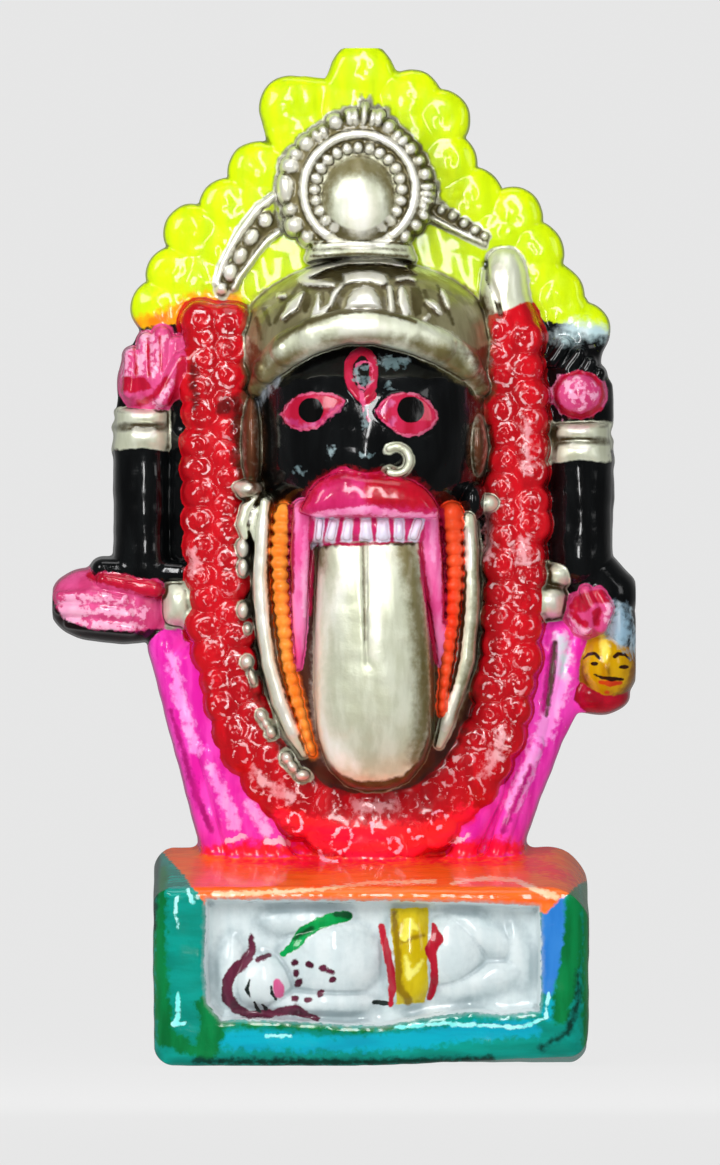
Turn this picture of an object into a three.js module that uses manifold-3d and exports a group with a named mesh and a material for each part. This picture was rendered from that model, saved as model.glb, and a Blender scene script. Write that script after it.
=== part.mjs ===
// A cast plaster figure of the goddess Kali in the manner of the Kalighat temple image. A broad face
// looks out from under a domed crown, a long tongue hangs over the chest, a garland of roses hangs in
// a U around it, two hands are raised and two lowered, a halo of flowers stands behind, and Shiva lies
// in the recessed front of the plinth. Figure and plinth are one casting with a flat back.
// Units are millimetres, +Z is up, the front faces -Y, and the origin is the middle of the underside.
import * as THREE from "three";
import { mergeVertices } from "three/addons/utils/BufferGeometryUtils.js";
import Module from "manifold-3d";

const wasm = await Module();
wasm.setup();

// Driving sizes of the plinth.
const PLINTH_WIDTH = 106;
const PLINTH_HEIGHT = 54;
const PLINTH_DEPTH = 54;
const SIDE_DRAFT = 8; // how far each side leans in from back to front
const TOP_FALL = 10; // how far the top drops from back to front
const EDGE_ROUND = 4; // rounding of the front edges
const CORNER_ROUND = 6; // rounding of the upper corners seen from the front
const FOOT_ROUND = 3.6; // rounding of the lower ones
const LEAST_ROUND = 0.8; // what a corner's rounding keeps where the ring is drawn in
const RIM_SIDE = 0.5; // flat rim beside the recess, inside the rounded edge
const RIM_TOP = 1.5; // rim over the recess, a part of the rounded edge
const RIM_FOOT = 7; // flat rim under the recess, above the rounded edge
const RECESS_DEPTH = 6;
const RECESS_LEAN = 3; // how far the recess walls lean in

// Driving sizes of the figure.
const FIGURE_HEIGHT = 200; // from the plinth's top to the tip of the halo
const SLAB_DEPTH = 12; // thickness of the casting behind the relief

// The figure is drawn on a grid of 200 squares to its height. Places on it are x to the right of the
// plinth's middle, up from the plinth's top, and out from the casting's back.
const GRID = 200;
const SQUARE = FIGURE_HEIGHT / GRID;
const BACK_Y = PLINTH_DEPTH / 2;
const SLAB_OUT = SLAB_DEPTH / SQUARE;
const SUNK = -9; // how low the figure's foot reaches into the plinth

// Outline of the casting behind the relief, clockwise from the left foot, on either side of the halo.
const LEFT_OUTLINE = [
  [-41, SUNK], [-41, 2], [-45.2, 15.5], [-48.2, 25.5], [-51.5, 37], [-55, 52], [-62, 60], [-62.5, 72],
  [-63.5, 88], [-62.8, 98], [-63.8, 108], [-62.4, 121], [-58.5, 127.5],
];
const RIGHT_OUTLINE = [
  [56.8, 120.5], [60, 115.5], [59.8, 106], [59.6, 96], [60.4, 87], [58.8, 71.5], [65, 67], [66.2, 52],
  [65.5, 42], [60, 34.5], [51.5, 33.5], [47.2, 26], [43, 16.5], [37.5, 4], [36.5, SUNK],
];

// Scalloped edge of the halo: where each lobe starts and how far it bulges from its chord.
const HALO_EDGE = [
  [-55.2, 130.2, 4.3], [-53.2, 140, 3.8], [-47.8, 148.2, 5.3], [-42, 159, 1.6], [-35.2, 166.5, 3.1],
  [-25.2, 175.2, 8.3], [-11.5, 192.2, 7.1], [7, 193, 1.2], [16.8, 189.2, 3.4], [22.2, 176.8, 0.8],
  [25, 169, 0.9], [32.2, 163.5, 3.3], [41.8, 155.8, 1.4], [47.2, 146.2, 0.8], [53.5, 134.5, 2.4],
  [57.2, 126.8, 0],
];
const HALO_FLOWER = { inset: 5, size: 5.2, rise: 3, sunk: 1 };
const HALO_INNER_FLOWERS = [[-42, 141.5], [-37, 150], [-28, 160], [24, 161], [32.5, 153.5], [41, 142]];

// Beaded arch on the halo, a ring seen at both sides of the crown.
const ARCH = { x: -3, up: 134, radius: 33.5, line: 3.2, lineThick: 0.9, size: 2.1, waist: 1.2 };
const ARCH_LEFT = { from: 174, to: 128, count: 13 };
const ARCH_RIGHT = { from: 54, to: 28, count: 9 };

const SWORD_TIP = { x: 33.6, up: 137, wide: 5.8, tall: 12.6, out: 12, rise: 8.5, square: 0.8 };

const DISC = { x: -3.75, up: 163.5, radius: 17.6, front: 26, foot: -13.4, bevel: 1.5, sides: 24 };
const DISC_BEAD = { ring: 17.6, size: 3.2, waist: 2, count: 24, open: 84, drop: 1.5 };
const DISC_PEAK = { reach: 3.2, spread: 24 };
const DISC_RING = { radius: 14.1, thick: 1.3, count: 14 };
const DISC_INNER_BEAD = { ring: 11.2, size: 1.6, waist: 0.9, count: 15, open: 96 };
const DISC_DOME = { wide: 9.2, tall: 10.7, drop: 1.5, rise: 4.5 };

const CROWN = { x: -1, up: 125, wide: 32.6, tall: 22, out: 10, rise: 32 };
const CROWN_NECK = [
  { x: -2, foot: 145.8, top: 149.2, wide: 13.4, thick: 1.9, out: 21, rise: 8, count: 9 },
  { x: -2, foot: 142.2, top: 145.6, wide: 19, thick: 1.8, out: 20, rise: 11, count: 9 },
];
const BROW_BAND = { x: -0.8, foot: 113, top: 130, wide: 29.5, thick: 4.5, out: 19, rise: 21.5, count: 15 };
const CROWN_LEAF = { up: 137.2, drop: 6.5, spread: 43, count: 7, tall: 4, wide: 2.6, rise: 1.6, lean: 0.7 };
const CROWN_MIDDLE_LEAF = 4.9; // half the width of the middle one
const LEAF_SUNK = 0.8;

const FACE = { x: 0.2, up: 103, wide: 29, tall: 22, out: 13, rise: 30.5, square: 0.62 };
const EYES = [
  { x: -14.6, up: 108.9, wide: 7.9, tall: 4.7, out: 39.4, rise: 3, tilt: 0.12 },
  { x: 9, up: 108.3, wide: 8, tall: 5.4, out: 39.8, rise: 3, tilt: -0.1 },
  { x: -2.6, up: 118, wide: 4.5, tall: 7.6, out: 40.3, rise: 3 },
];
const NOSE = { x: -1.5, bridge: 108, middle: 102.5, tip: 97, thick: 2.1, out: 37.5, lift: 2 };
const NOSE_TIP = { x: -1.5, up: 97, wide: 4.2, tall: 3.4, out: 42.5, rise: 2.9 };
const NOSTRIL = { aside: 5, up: 96.2, wide: 2.9, tall: 2.5, out: 40, rise: 2.9 };
const NOSE_RING = { x: 6.8, up: 96.5, radius: 3.6, thick: 0.95, out: 43.5, from: 110, to: -110, count: 8 };
const EARS = [
  { x: -29.8, up: 101, wide: 2.6, tall: 11, out: 22, rise: 6 },
  { x: 27.2, up: 98, wide: 2.8, tall: 11, out: 24, rise: 6 },
];

const LIP = { x: -0.2, up: 88, wide: 17, tall: 5.8, out: 36, rise: 10.5 };
const TEETH = { x: 0.2, half: 14.2, count: 9, up: 79.6, wide: 1.33, tall: 4, out: 38.5, rise: 2, square: 0 };
const CHEEK_STRANDS = [
  [[-16.6, 84, 2.3, 6], [-14.4, 38, 2.3]],
  [[15.4, 84, 2.3, 6], [16.2, 42, 2.3]],
];
const CHEST = { x: -0.5, up: 55, wide: 27, tall: 44, out: 10, rise: 19, square: 0.7 };
const TONGUE = { x: 0.9, up: 45.5, wide: 15.6, tall: 31.3, out: 28, rise: 14, square: 0.6 };

// Strings that hang in a U: straight to the bend, then half an ellipse down to the foot.
const GARLAND = { x: -1.4, wide: 37.6, top: 131.5, bend: 57, foot: 3.8, pitch: 8.8, out: 20 };
const ROSE = { aside: 3.3, size: 4.2, waist: 3 };
const CORD = { x: -1.4, wide: 26.2, top: 84, bend: 62, foot: 12.5, pitch: 24, out: 27.5, size: 2.1 };
const BEADS = { x: -1, wide: 21, top: 83, bend: 58, foot: 15, pitch: 6.2, out: 29, size: 2.6, waist: 1.6 };

const LEFT_ARM = {
  forearm: { from: [-57.2, 99], to: [-57.2, 70], thick: 6.8, out: 12 },
  bangle: { x: -57.2, up: 104.2, wide: 7.1, tall: 5.7, out: 12, rise: 8.1, square: 0.5 },
  palm: { x: -54.6, up: 117.5, wide: 8.6, tall: 9.8, out: 12, rise: 8 },
  fingers: { x: -59.3, pitch: 3.6, foot: 115, tips: [121.5, 125.5, 127, 125], thick: 2.2, out: 17 },
  upperArm: { from: [-46.6, 124], to: [-46.6, 72], thick: 4, out: 12 },
};
const LEFT_LOW_HAND = {
  palm: { x: -65.4, up: 60.4, wide: 14.8, tall: 9, out: 10, rise: 8, tilt: -0.12, square: 0.8 },
  elbow: { from: [-66, 69.6], to: [-45, 68.6], thick: 2.6, out: 15 },
  thumb: { from: [-64, 66.4], to: [-53, 64.6], thick: 2.2, out: 17 },
  bangle: { x: -47.9, up: 61, wide: 4.4, tall: 5.9, out: 12, rise: 8, square: 0.6 },
};
const RIGHT_ARM = {
  forearm: { from: [52, 97], to: [52, 72], thick: 7.8, out: 11.5 },
  bangle: { x: 52.4, up: 101.5, wide: 7.2, tall: 5.5, out: 12, rise: 8.2, square: 0.5 },
  palm: { x: 53.6, up: 112.8, wide: 7, tall: 6.6, out: 13, rise: 8 },
  back: { x: 52.4, up: 116, wide: 7.8, tall: 13, out: 10, rise: 6, square: 0.6 },
  fingers: { x: 46.6, pitch: 3.1, count: 4, foot: 118, tip: 125, lean: 2.4, thick: 1.7, out: 14.5 },
  elbow: { from: [51, 72], to: [59.5, 63], thick: 7, out: 10.5 },
};
const RIGHT_LOW_HAND = {
  bangle: { x: 45.3, up: 64.4, wide: 5, tall: 7.6, out: 12, rise: 8, square: 0.8 },
  fist: { x: 54.6, up: 58.6, wide: 6.2, tall: 6.6, out: 12, rise: 8.4 },
  hair: { x: 62.4, up: 54, wide: 4, tall: 10, out: 10, rise: 7 },
  head: { x: 59.3, up: 45, wide: 7.4, tall: 8.8, out: 10, rise: 9.5 },
  neck: { x: 58.4, up: 38.4, wide: 7.8, tall: 5.2, out: 9, rise: 8 },
};

// Folds of the cloth that show beside the garland, from the hands down to the plinth.
const CLOTH_FOLDS = [
  { from: [-51, 50], to: [-37, 0], thick: 4, out: 11 },
  { from: [-46, 46], to: [-27, -2], thick: 4.6, out: 13 },
  { from: [46.5, 52], to: [32, -1], thick: 4.2, out: 12 },
  { from: [50.5, 38], to: [36, 2], thick: 3.6, out: 11 },
];

// Shiva lies in the recess with his head to the left. Places are shares of the recess's width and
// height from its middle, and sizes are shares of its height.
const SHIVA = [
  { at: [-0.34, -0.16], size: [0.26, 0.21], rise: 0.13 },
  { at: [-0.43, -0.05], size: [0.1, 0.28], rise: 0.08 },
  { at: [-0.1, 0.0], size: [0.42, 0.33], rise: 0.13 },
  { at: [-0.16, -0.36], size: [0.4, 0.11], rise: 0.09 },
  { at: [-0.2, 0.3], size: [0.36, 0.12], rise: 0.08 },
  { at: [0.12, -0.02], size: [0.22, 0.43], rise: 0.16 },
  { at: [0.27, 0.12], size: [0.36, 0.25], rise: 0.12 },
  { at: [0.29, -0.22], size: [0.38, 0.17], rise: 0.11 },
];

// Every form is rooted behind the casting's back, which is then cut flat, so that none undercuts.
const ROOT = -1;

// Facets round a form, and levels from its edge to its top.
const TOOTH = { sides: 4, levels: 2 };
const SMALL = { sides: 5, levels: 2 };
const FORM = { sides: 8, levels: 2 };
const LARGE = { sides: 16, levels: 3 };
const THIN_ARC = 2; // facets over a thin strand
const WIDE_ARC = 3; // facets over a wide one
const ROUND_STEPS = 2; // facets over the plinth's rounded edge
const CORNER_STEPS = 3; // facets round each of its corners
const LOBE_STEPS = 4; // facets round a lobe of the halo
const SWELL = 0.7; // power that fills out a lobe or an arch beyond a sine's curve

function toSolid(geometry) {
  geometry.deleteAttribute("normal");
  geometry.deleteAttribute("uv");
  const merged = mergeVertices(geometry, 1e-4);
  return new wasm.Manifold(
    new wasm.Mesh({
      numProp: 3,
      vertProperties: merged.getAttribute("position").array,
      triVerts: new Uint32Array(merged.index.array),
    }),
  );
}

function join(solids) {
  return solids.reduce((all, next) => all.add(next));
}

function figurePoint(x, up, out) {
  return new THREE.Vector3(x * SQUARE, BACK_Y - out * SQUARE, PLINTH_HEIGHT + up * SQUARE);
}

// A domed form whose edge stands out from the back, with half its width and height in wide and tall.
// A square below 1 draws its outline towards a rectangle, tilt turns it in the plane of the back, and
// a reach parts its upper and lower half by a straight length between them.
function dome(form, facets = FORM, point = figurePoint) {
  const { x, up, out, wide, tall, rise, square = 1, tilt = 0, reach = 0 } = form;
  const { sides, levels } = facets;
  const bend = (value) => Math.sign(value) * Math.abs(value) ** square;
  const place = (turn, share, height) => {
    const aside = wide * share * bend(Math.cos(turn));
    const above = tall * share * bend(Math.sin(turn)) + reach * Math.sign(Math.sin(turn));
    return point(
      x + aside * Math.cos(tilt) - above * Math.sin(tilt),
      up + aside * Math.sin(tilt) + above * Math.cos(tilt), height);
  };
  const ring = (share, height) =>
    Array.from({ length: sides }, (_, i) => place((2 * Math.PI * (i + 0.5)) / sides, share, height));
  const rings = [ring(1, ROOT)];
  for (let level = 0; level < levels; level++) {
    const climb = (Math.PI / 2) * (level / (levels - 0.5));
    rings.push(ring(Math.cos(climb), out + rise * Math.sin(climb)));
  }
  return loft(rings, point(x, up, out + rise));
}

// A strand with a rounded front through places on the figure, each x, up and half its thickness there.
function strand(places, out, arc = WIDE_ARC) {
  const rings = places.map(([x, up, thick, lift = 0], i) => {
    const before = places[Math.max(i - 1, 0)];
    const after = places[Math.min(i + 1, places.length - 1)];
    const along = new THREE.Vector2(after[0] - before[0], after[1] - before[1]).normalize();
    const place = (aside, height) => figurePoint(x + along.y * aside, up - along.x * aside, height);
    const front = Array.from({ length: arc + 1 }, (_, k) => {
      const turn = (Math.PI * k) / arc;
      return place(-thick * Math.cos(turn), out + lift + thick * Math.sin(turn));
    });
    return [place(-thick, ROOT), ...front, place(thick, ROOT)];
  });
  return loft(rings);
}

// A strand of touching beads along a path that has a place at each waist and at each bead's middle.
function beaded(path, out, { size, waist }, arc = THIN_ARC) {
  return strand(path.map(([x, up], i) => [x, up, i % 2 ? size : waist]), out, arc);
}

// A straight form between two places, with round ends.
function limb({ from, to, thick, out, rise = thick }) {
  const aside = to[0] - from[0];
  const above = to[1] - from[1];
  return dome({
    x: (from[0] + to[0]) / 2, up: (from[1] + to[1]) / 2, out, wide: thick, tall: thick, rise,
    tilt: Math.atan2(-aside, above), reach: Math.hypot(aside, above) / 2,
  });
}

function slab(outline, thickness) {
  const shape = new THREE.Shape(outline.map(([x, up]) => new THREE.Vector2(x * SQUARE, up * SQUARE)));
  const geometry = new THREE.ExtrudeGeometry(shape, { depth: thickness - ROOT, bevelEnabled: false });
  geometry.rotateX(Math.PI / 2);
  geometry.translate(0, BACK_Y - ROOT, PLINTH_HEIGHT);
  return toSolid(geometry);
}

function middleOf(ring) {
  return ring.reduce((sum, point) => sum.add(point), new THREE.Vector3()).divideScalar(ring.length);
}

// A closed body through rings that all have the same number of points.
function loft(rings, tip = middleOf(rings[rings.length - 1])) {
  const count = rings[0].length;
  const middles = [middleOf(rings[0]), tip];
  const points = [...rings.flat(), ...middles];
  const index = [];
  for (let i = 0; i < count; i++) {
    const next = (i + 1) % count;
    for (let r = 0; r + 1 < rings.length; r++) {
      const low = r * count;
      const high = low + count;
      index.push(low + i, low + next, high + next, low + i, high + next, high + i);
    }
    index.push(rings.length * count, next, i);
    const last = (rings.length - 1) * count;
    index.push(rings.length * count + 1, last + i, last + next);
  }
  const geometry = new THREE.BufferGeometry().setFromPoints(points);
  geometry.setIndex(index);
  return toSolid(geometry);
}

// The plinth's outline at a distance out from its back, drawn in by inset, with round corners.
function plinthRing(out, inset, footInset) {
  const share = out / PLINTH_DEPTH;
  const half = PLINTH_WIDTH / 2 - SIDE_DRAFT * share - inset;
  const top = PLINTH_HEIGHT - TOP_FALL * share - inset;
  const round = Math.max(CORNER_ROUND - inset, LEAST_ROUND);
  const foot = Math.max(FOOT_ROUND - inset, LEAST_ROUND);
  const corners = [
    [half - foot, footInset + foot, -90, foot], [half - round, top - round, 0, round],
    [-half + round, top - round, 90, round], [-half + foot, footInset + foot, 180, foot],
  ];
  return corners.flatMap(([x, z, start, radius]) =>
    Array.from({ length: CORNER_STEPS + 1 }, (_, i) => {
      const turn = THREE.MathUtils.degToRad(start + (90 * i) / CORNER_STEPS);
      return new THREE.Vector3(
        x + radius * Math.cos(turn), BACK_Y - out, z + radius * Math.sin(turn));
    }));
}

// Middle, half width and half height of the recess at the plinth's face.
function recessFrame() {
  const half = PLINTH_WIDTH / 2 - SIDE_DRAFT - EDGE_ROUND - RIM_SIDE;
  const foot = EDGE_ROUND + RIM_FOOT;
  const top = PLINTH_HEIGHT - TOP_FALL - RIM_TOP;
  return { half, middle: (top + foot) / 2, tall: (top - foot) / 2 };
}

function recess() {
  const { half, middle, tall } = recessFrame();
  const beyond = 1;
  const rectangle = (out, inset) =>
    [[1, -1], [1, 1], [-1, 1], [-1, -1]].map(([sx, sz]) =>
      new THREE.Vector3(sx * (half - inset), BACK_Y - out, middle + sz * (tall - inset)));
  const slope = RECESS_LEAN / RECESS_DEPTH;
  return loft([
    rectangle(PLINTH_DEPTH - RECESS_DEPTH, RECESS_LEAN),
    rectangle(PLINTH_DEPTH + beyond, -slope * beyond),
  ]);
}

function shiva() {
  const { half, middle, tall } = recessFrame();
  const floor = PLINTH_DEPTH - RECESS_DEPTH;
  const point = (x, up, out) => new THREE.Vector3(x, BACK_Y - out, up);
  const unit = 2 * tall;
  return SHIVA.map(({ at, size, rise, tilt = 0 }) =>
    dome({
      x: at[0] * 2 * half, up: middle + at[1] * unit, out: floor, tilt,
      wide: size[0] * unit, tall: size[1] * unit, rise: rise * unit,
    }, FORM, point));
}

function plinth() {
  const rings = [plinthRing(0, 0, 0)];
  for (let i = 0; i <= ROUND_STEPS; i++) {
    const turn = (Math.PI / 2) * (i / ROUND_STEPS);
    const inset = EDGE_ROUND * (1 - Math.cos(turn));
    const out = PLINTH_DEPTH - EDGE_ROUND * (1 - Math.sin(turn));
    rings.push(plinthRing(out, inset, inset));
  }
  return join([loft(rings).subtract(recess()), ...shiva()]);
}

// Places down one side of a U, round its foot and up the other side, two to each pitch of its beads.
function hangingPath({ x, wide, top, bend, foot, pitch }) {
  const depth = bend - foot;
  const bow = Math.PI * Math.sqrt((wide * wide + depth * depth) / 2);
  const straight = top - bend;
  const count = 2 * Math.round((2 * straight + bow) / pitch);
  return Array.from({ length: count + 1 }, (_, i) => {
    const along = ((2 * straight + bow) * i) / count;
    if (along < straight) return [x - wide, top - along];
    if (along > straight + bow) return [x + wide, bend + along - straight - bow];
    const turn = (Math.PI * (along - straight)) / bow;
    return [x - wide * Math.cos(turn), bend - depth * Math.sin(turn)];
  });
}

function garland() {
  return [-1, 1].map((side) => {
    const aside = side * ROSE.aside;
    const row = { ...GARLAND, wide: GARLAND.wide + aside, foot: GARLAND.foot - aside };
    return beaded(hangingPath(row), GARLAND.out, ROSE, WIDE_ARC);
  });
}

function necklaces() {
  const cord = hangingPath(CORD).map((place) => [...place, CORD.size]);
  return [strand(cord, CORD.out, THIN_ARC), beaded(hangingPath(BEADS), BEADS.out, BEADS)];
}

// Places round the lobes of the halo's edge, and the middle of a flower inside each lobe.
function haloEdge() {
  const places = [];
  const flowers = [];
  HALO_EDGE.forEach(([x, up, bulge], i) => {
    places.push([x, up]);
    if (i === HALO_EDGE.length - 1) return;
    const [nextX, nextUp] = HALO_EDGE[i + 1];
    const chord = new THREE.Vector2(nextX - x, nextUp - up);
    const outwards = new THREE.Vector2(-chord.y, chord.x).normalize();
    for (let k = 1; k < LOBE_STEPS; k++) {
      const share = k / LOBE_STEPS;
      const swell = bulge * Math.sin(Math.PI * share) ** SWELL;
      places.push([x + chord.x * share + outwards.x * swell, up + chord.y * share + outwards.y * swell]);
    }
    const reach = bulge - HALO_FLOWER.inset;
    flowers.push([x + chord.x / 2 + outwards.x * reach, up + chord.y / 2 + outwards.y * reach]);
  });
  return { places, flowers };
}

function halo() {
  const { size, rise, sunk } = HALO_FLOWER;
  return [...haloEdge().flowers, ...HALO_INNER_FLOWERS].map(([x, up]) =>
    dome({ x, up, out: SLAB_OUT - sunk, wide: size, tall: size, rise: rise + sunk }, SMALL));
}

function ringPlace({ x, up }, radius, degrees) {
  const turn = THREE.MathUtils.degToRad(degrees);
  return [x + radius * Math.cos(turn), up + radius * Math.sin(turn)];
}

function arch() {
  const solids = [];
  for (const { from, to, count } of [ARCH_LEFT, ARCH_RIGHT]) {
    const turns = Array.from({ length: count }, (_, i) => from + ((to - from) * i) / (count - 1));
    for (const side of [-1, 1]) {
      const radius = ARCH.radius + side * ARCH.line;
      const places = turns.filter((turn, i) => i % 2 === 0).map(
        (turn) => [...ringPlace(ARCH, radius, turn), ARCH.lineThick]);
      solids.push(strand(places, SLAB_OUT, THIN_ARC));
    }
    const beads = turns.map((turn) => ringPlace(ARCH, ARCH.radius, turn));
    solids.push(beaded(beads, SLAB_OUT, ARCH));
  }
  return solids;
}

// The round crest of the crown: a plate with a peaked border of beads, a ring, a second row of beads
// and a polished dome.
function disc() {
  const { radius, front, bevel, sides } = DISC;
  const plate = [[radius, ROOT], [radius, front - bevel], [radius - bevel, front]].map(([reach, out]) =>
    Array.from({ length: sides }, (_, k) => {
      const [x, up] = ringPlace(DISC, reach, (360 * k) / sides);
      return figurePoint(x, Math.max(up, DISC.up + DISC.foot), out);
    }));
  const solids = [loft(plate)];
  const turnsOver = (count, open) =>
    Array.from({ length: count }, (_, i) => -90 + open / 2 + ((360 - open) * i) / (count - 1));
  const border = turnsOver(2 * DISC_BEAD.count + 1, DISC_BEAD.open).map((turn) => {
    const reach = DISC_PEAK.reach * Math.max(0, 1 - Math.abs(turn - 90) / DISC_PEAK.spread);
    return ringPlace(DISC, DISC_BEAD.ring + reach, turn);
  });
  solids.push(beaded(border, front - DISC_BEAD.drop, DISC_BEAD));
  const inner = turnsOver(2 * DISC_INNER_BEAD.count + 1, DISC_INNER_BEAD.open).map(
    (turn) => ringPlace(DISC, DISC_INNER_BEAD.ring, turn));
  solids.push(beaded(inner, front, DISC_INNER_BEAD));
  const ring = turnsOver(DISC_RING.count, DISC_BEAD.open).map(
    (turn) => [...ringPlace(DISC, DISC_RING.radius, turn), DISC_RING.thick]);
  solids.push(strand(ring, front, THIN_ARC));
  solids.push(dome({ x: DISC.x, up: DISC.up - DISC_DOME.drop, out: front, ...DISC_DOME }));
  return solids;
}

// Places on an arch over the forehead, from one temple to the other, lifted most in the middle.
function overHead({ x, foot, top, wide, thick, rise, count }) {
  return Array.from({ length: count }, (_, i) => {
    const turn = Math.PI * (1 - i / (count - 1));
    const height = Math.sin(turn);
    return [x + wide * Math.cos(turn), foot + (top - foot) * height, thick, rise * height ** SWELL];
  });
}

function crown() {
  const solids = [dome(CROWN, LARGE), strand(overHead(BROW_BAND), BROW_BAND.out)];
  CROWN_NECK.forEach((ring) => solids.push(strand(overHead(ring), ring.out, THIN_ARC)));
  const { spread, count, drop, tall, wide, rise, lean } = CROWN_LEAF;
  for (let i = 0; i < count; i++) {
    const turn = THREE.MathUtils.degToRad(spread * ((2 * i) / (count - 1) - 1));
    const aside = CROWN.wide * Math.sin(turn);
    const up = CROWN_LEAF.up - drop * (1 - Math.cos(turn));
    const away = (aside / CROWN.wide) ** 2 + ((up - CROWN.up) / CROWN.tall) ** 2;
    const onCrown = CROWN.out + CROWN.rise * Math.sqrt(1 - away);
    const half = i === (count - 1) / 2 ? CROWN_MIDDLE_LEAF : wide * Math.cos(turn);
    solids.push(dome({
      x: CROWN.x + aside, up, out: onCrown - LEAF_SUNK, wide: half, tall, rise, tilt: -turn * lean,
    }, SMALL));
  }
  return solids;
}

function face() {
  const { x, bridge, middle, tip, thick, lift } = NOSE;
  const ridge = [[x, bridge, thick], [x, middle, thick, lift], [x, tip, thick, 2 * lift]];
  const hoop = Array.from({ length: NOSE_RING.count }, (_, i) => {
    const turn = THREE.MathUtils.lerp(NOSE_RING.from, NOSE_RING.to, i / (NOSE_RING.count - 1));
    return [...ringPlace(NOSE_RING, NOSE_RING.radius, turn), NOSE_RING.thick];
  });
  return [
    dome(FACE, LARGE),
    ...EYES.map((eye) => dome(eye)),
    ...EARS.map((ear) => dome(ear)),
    strand(ridge, NOSE.out),
    dome(NOSE_TIP),
    ...[-1, 1].map((side) => dome({ ...NOSTRIL, x: x + side * NOSTRIL.aside }, SMALL)),
    strand(hoop, NOSE_RING.out, THIN_ARC),
  ];
}

function mouth() {
  const teeth = Array.from({ length: TEETH.count }, (_, i) => {
    const share = (2 * i + 1) / TEETH.count - 1;
    return dome({ ...TEETH, x: TEETH.x + TEETH.half * share }, TOOTH);
  });
  const strands = CHEEK_STRANDS.map((places) => strand(places, TONGUE.out, THIN_ARC));
  return [dome(CHEST), dome(LIP), dome(TONGUE, LARGE), ...teeth, ...strands];
}

function leftArms() {
  const { forearm, bangle, palm, fingers, upperArm } = LEFT_ARM;
  const low = LEFT_LOW_HAND;
  const open = fingers.tips.map((tip, i) => {
    const x = fingers.x + i * fingers.pitch;
    return limb({ ...fingers, from: [x, fingers.foot], to: [x, tip] });
  });
  const arm = [limb(forearm), limb(upperArm), dome(bangle), dome(palm), ...open];
  return [...arm, dome(low.palm), dome(low.bangle), limb(low.elbow), limb(low.thumb)];
}

function rightArms() {
  const { forearm, bangle, palm, back, fingers, elbow } = RIGHT_ARM;
  const low = RIGHT_LOW_HAND;
  const grip = Array.from({ length: fingers.count }, (_, i) => {
    const x = fingers.x + i * fingers.pitch;
    return limb({ ...fingers, from: [x, fingers.foot], to: [x + fingers.lean, fingers.tip] });
  });
  const arm = [limb(forearm), limb(elbow), dome(bangle), dome(back), dome(palm), ...grip];
  return [...arm, dome(low.bangle), dome(low.fist), dome(low.hair), dome(low.head), dome(low.neck)];
}

function cloth() {
  return CLOTH_FOLDS.map((fold) => limb(fold));
}

// Cuts the casting's back flat, behind the roots of its forms.
function behindBack() {
  const size = 2 * (FIGURE_HEIGHT + PLINTH_HEIGHT);
  const geometry = new THREE.BoxGeometry(size, size, size);
  geometry.translate(0, BACK_Y + size / 2, 0);
  return toSolid(geometry);
}

const outline = [...LEFT_OUTLINE, ...haloEdge().places, ...RIGHT_OUTLINE];
const figure = join([
  plinth(), slab(outline, SLAB_DEPTH), ...halo(), ...arch(), dome(SWORD_TIP), ...disc(), ...crown(),
  ...face(), ...mouth(), ...garland(), ...necklaces(), ...leftArms(), ...rightArms(), ...cloth(),
]).subtract(behindBack());

const { vertProperties, triVerts } = figure.getMesh();
const casting = new THREE.BufferGeometry();
casting.setAttribute("position", new THREE.BufferAttribute(vertProperties, 3));
casting.setIndex(new THREE.BufferAttribute(triVerts, 1));
casting.computeVertexNormals();

const plaster = new THREE.MeshStandardMaterial({ color: 0xc9302c, roughness: 0.35, metalness: 0 });
const kaliFigure = new THREE.Mesh(casting, plaster);
kaliFigure.name = "kali_figure";

const part = new THREE.Group();
part.add(kaliFigure);

export default part;
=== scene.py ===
import math

import bpy
import numpy as np
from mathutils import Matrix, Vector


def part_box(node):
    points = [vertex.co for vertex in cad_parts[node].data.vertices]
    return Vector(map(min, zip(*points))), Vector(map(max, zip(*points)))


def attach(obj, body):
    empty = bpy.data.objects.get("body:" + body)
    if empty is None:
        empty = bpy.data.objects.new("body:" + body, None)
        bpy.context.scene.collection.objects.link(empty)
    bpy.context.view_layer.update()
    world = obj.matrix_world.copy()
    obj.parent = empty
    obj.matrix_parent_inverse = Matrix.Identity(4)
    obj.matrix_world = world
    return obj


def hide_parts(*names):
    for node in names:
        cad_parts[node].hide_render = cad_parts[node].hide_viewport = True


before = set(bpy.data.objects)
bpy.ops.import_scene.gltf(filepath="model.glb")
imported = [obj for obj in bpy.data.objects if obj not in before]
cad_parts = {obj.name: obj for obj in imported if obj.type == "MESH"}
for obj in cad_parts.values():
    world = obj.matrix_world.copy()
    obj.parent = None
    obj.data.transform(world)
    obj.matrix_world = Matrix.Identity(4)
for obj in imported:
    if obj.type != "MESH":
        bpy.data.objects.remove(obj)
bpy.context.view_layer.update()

import openvdb

# The looks of a cast plaster figure of the goddess Kali. The casting's relief is built as one
# distance field from rounded forms, turned into a mesh, and painted by drawn shapes that its
# points carry as signed distances. Places are squares of the figure's grid: x to the right of the
# plinth's middle, up from the plinth's top, and out from the casting's flat back.

NODE = "kali_figure"
LOW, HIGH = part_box(NODE)
PLINTH_HEIGHT = 54
TALL = 253.7 # squares from the underside to the tip of the halo
SQUARE = (HIGH.z - LOW.z) / TALL

# Grid and mesh of the casting.
STEP = 0.45 # squares between the field's points
BORDER = 3 # squares round the box, and round each form's window
TRIANGLES = 740000 # about as many as the thinned mesh keeps
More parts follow.
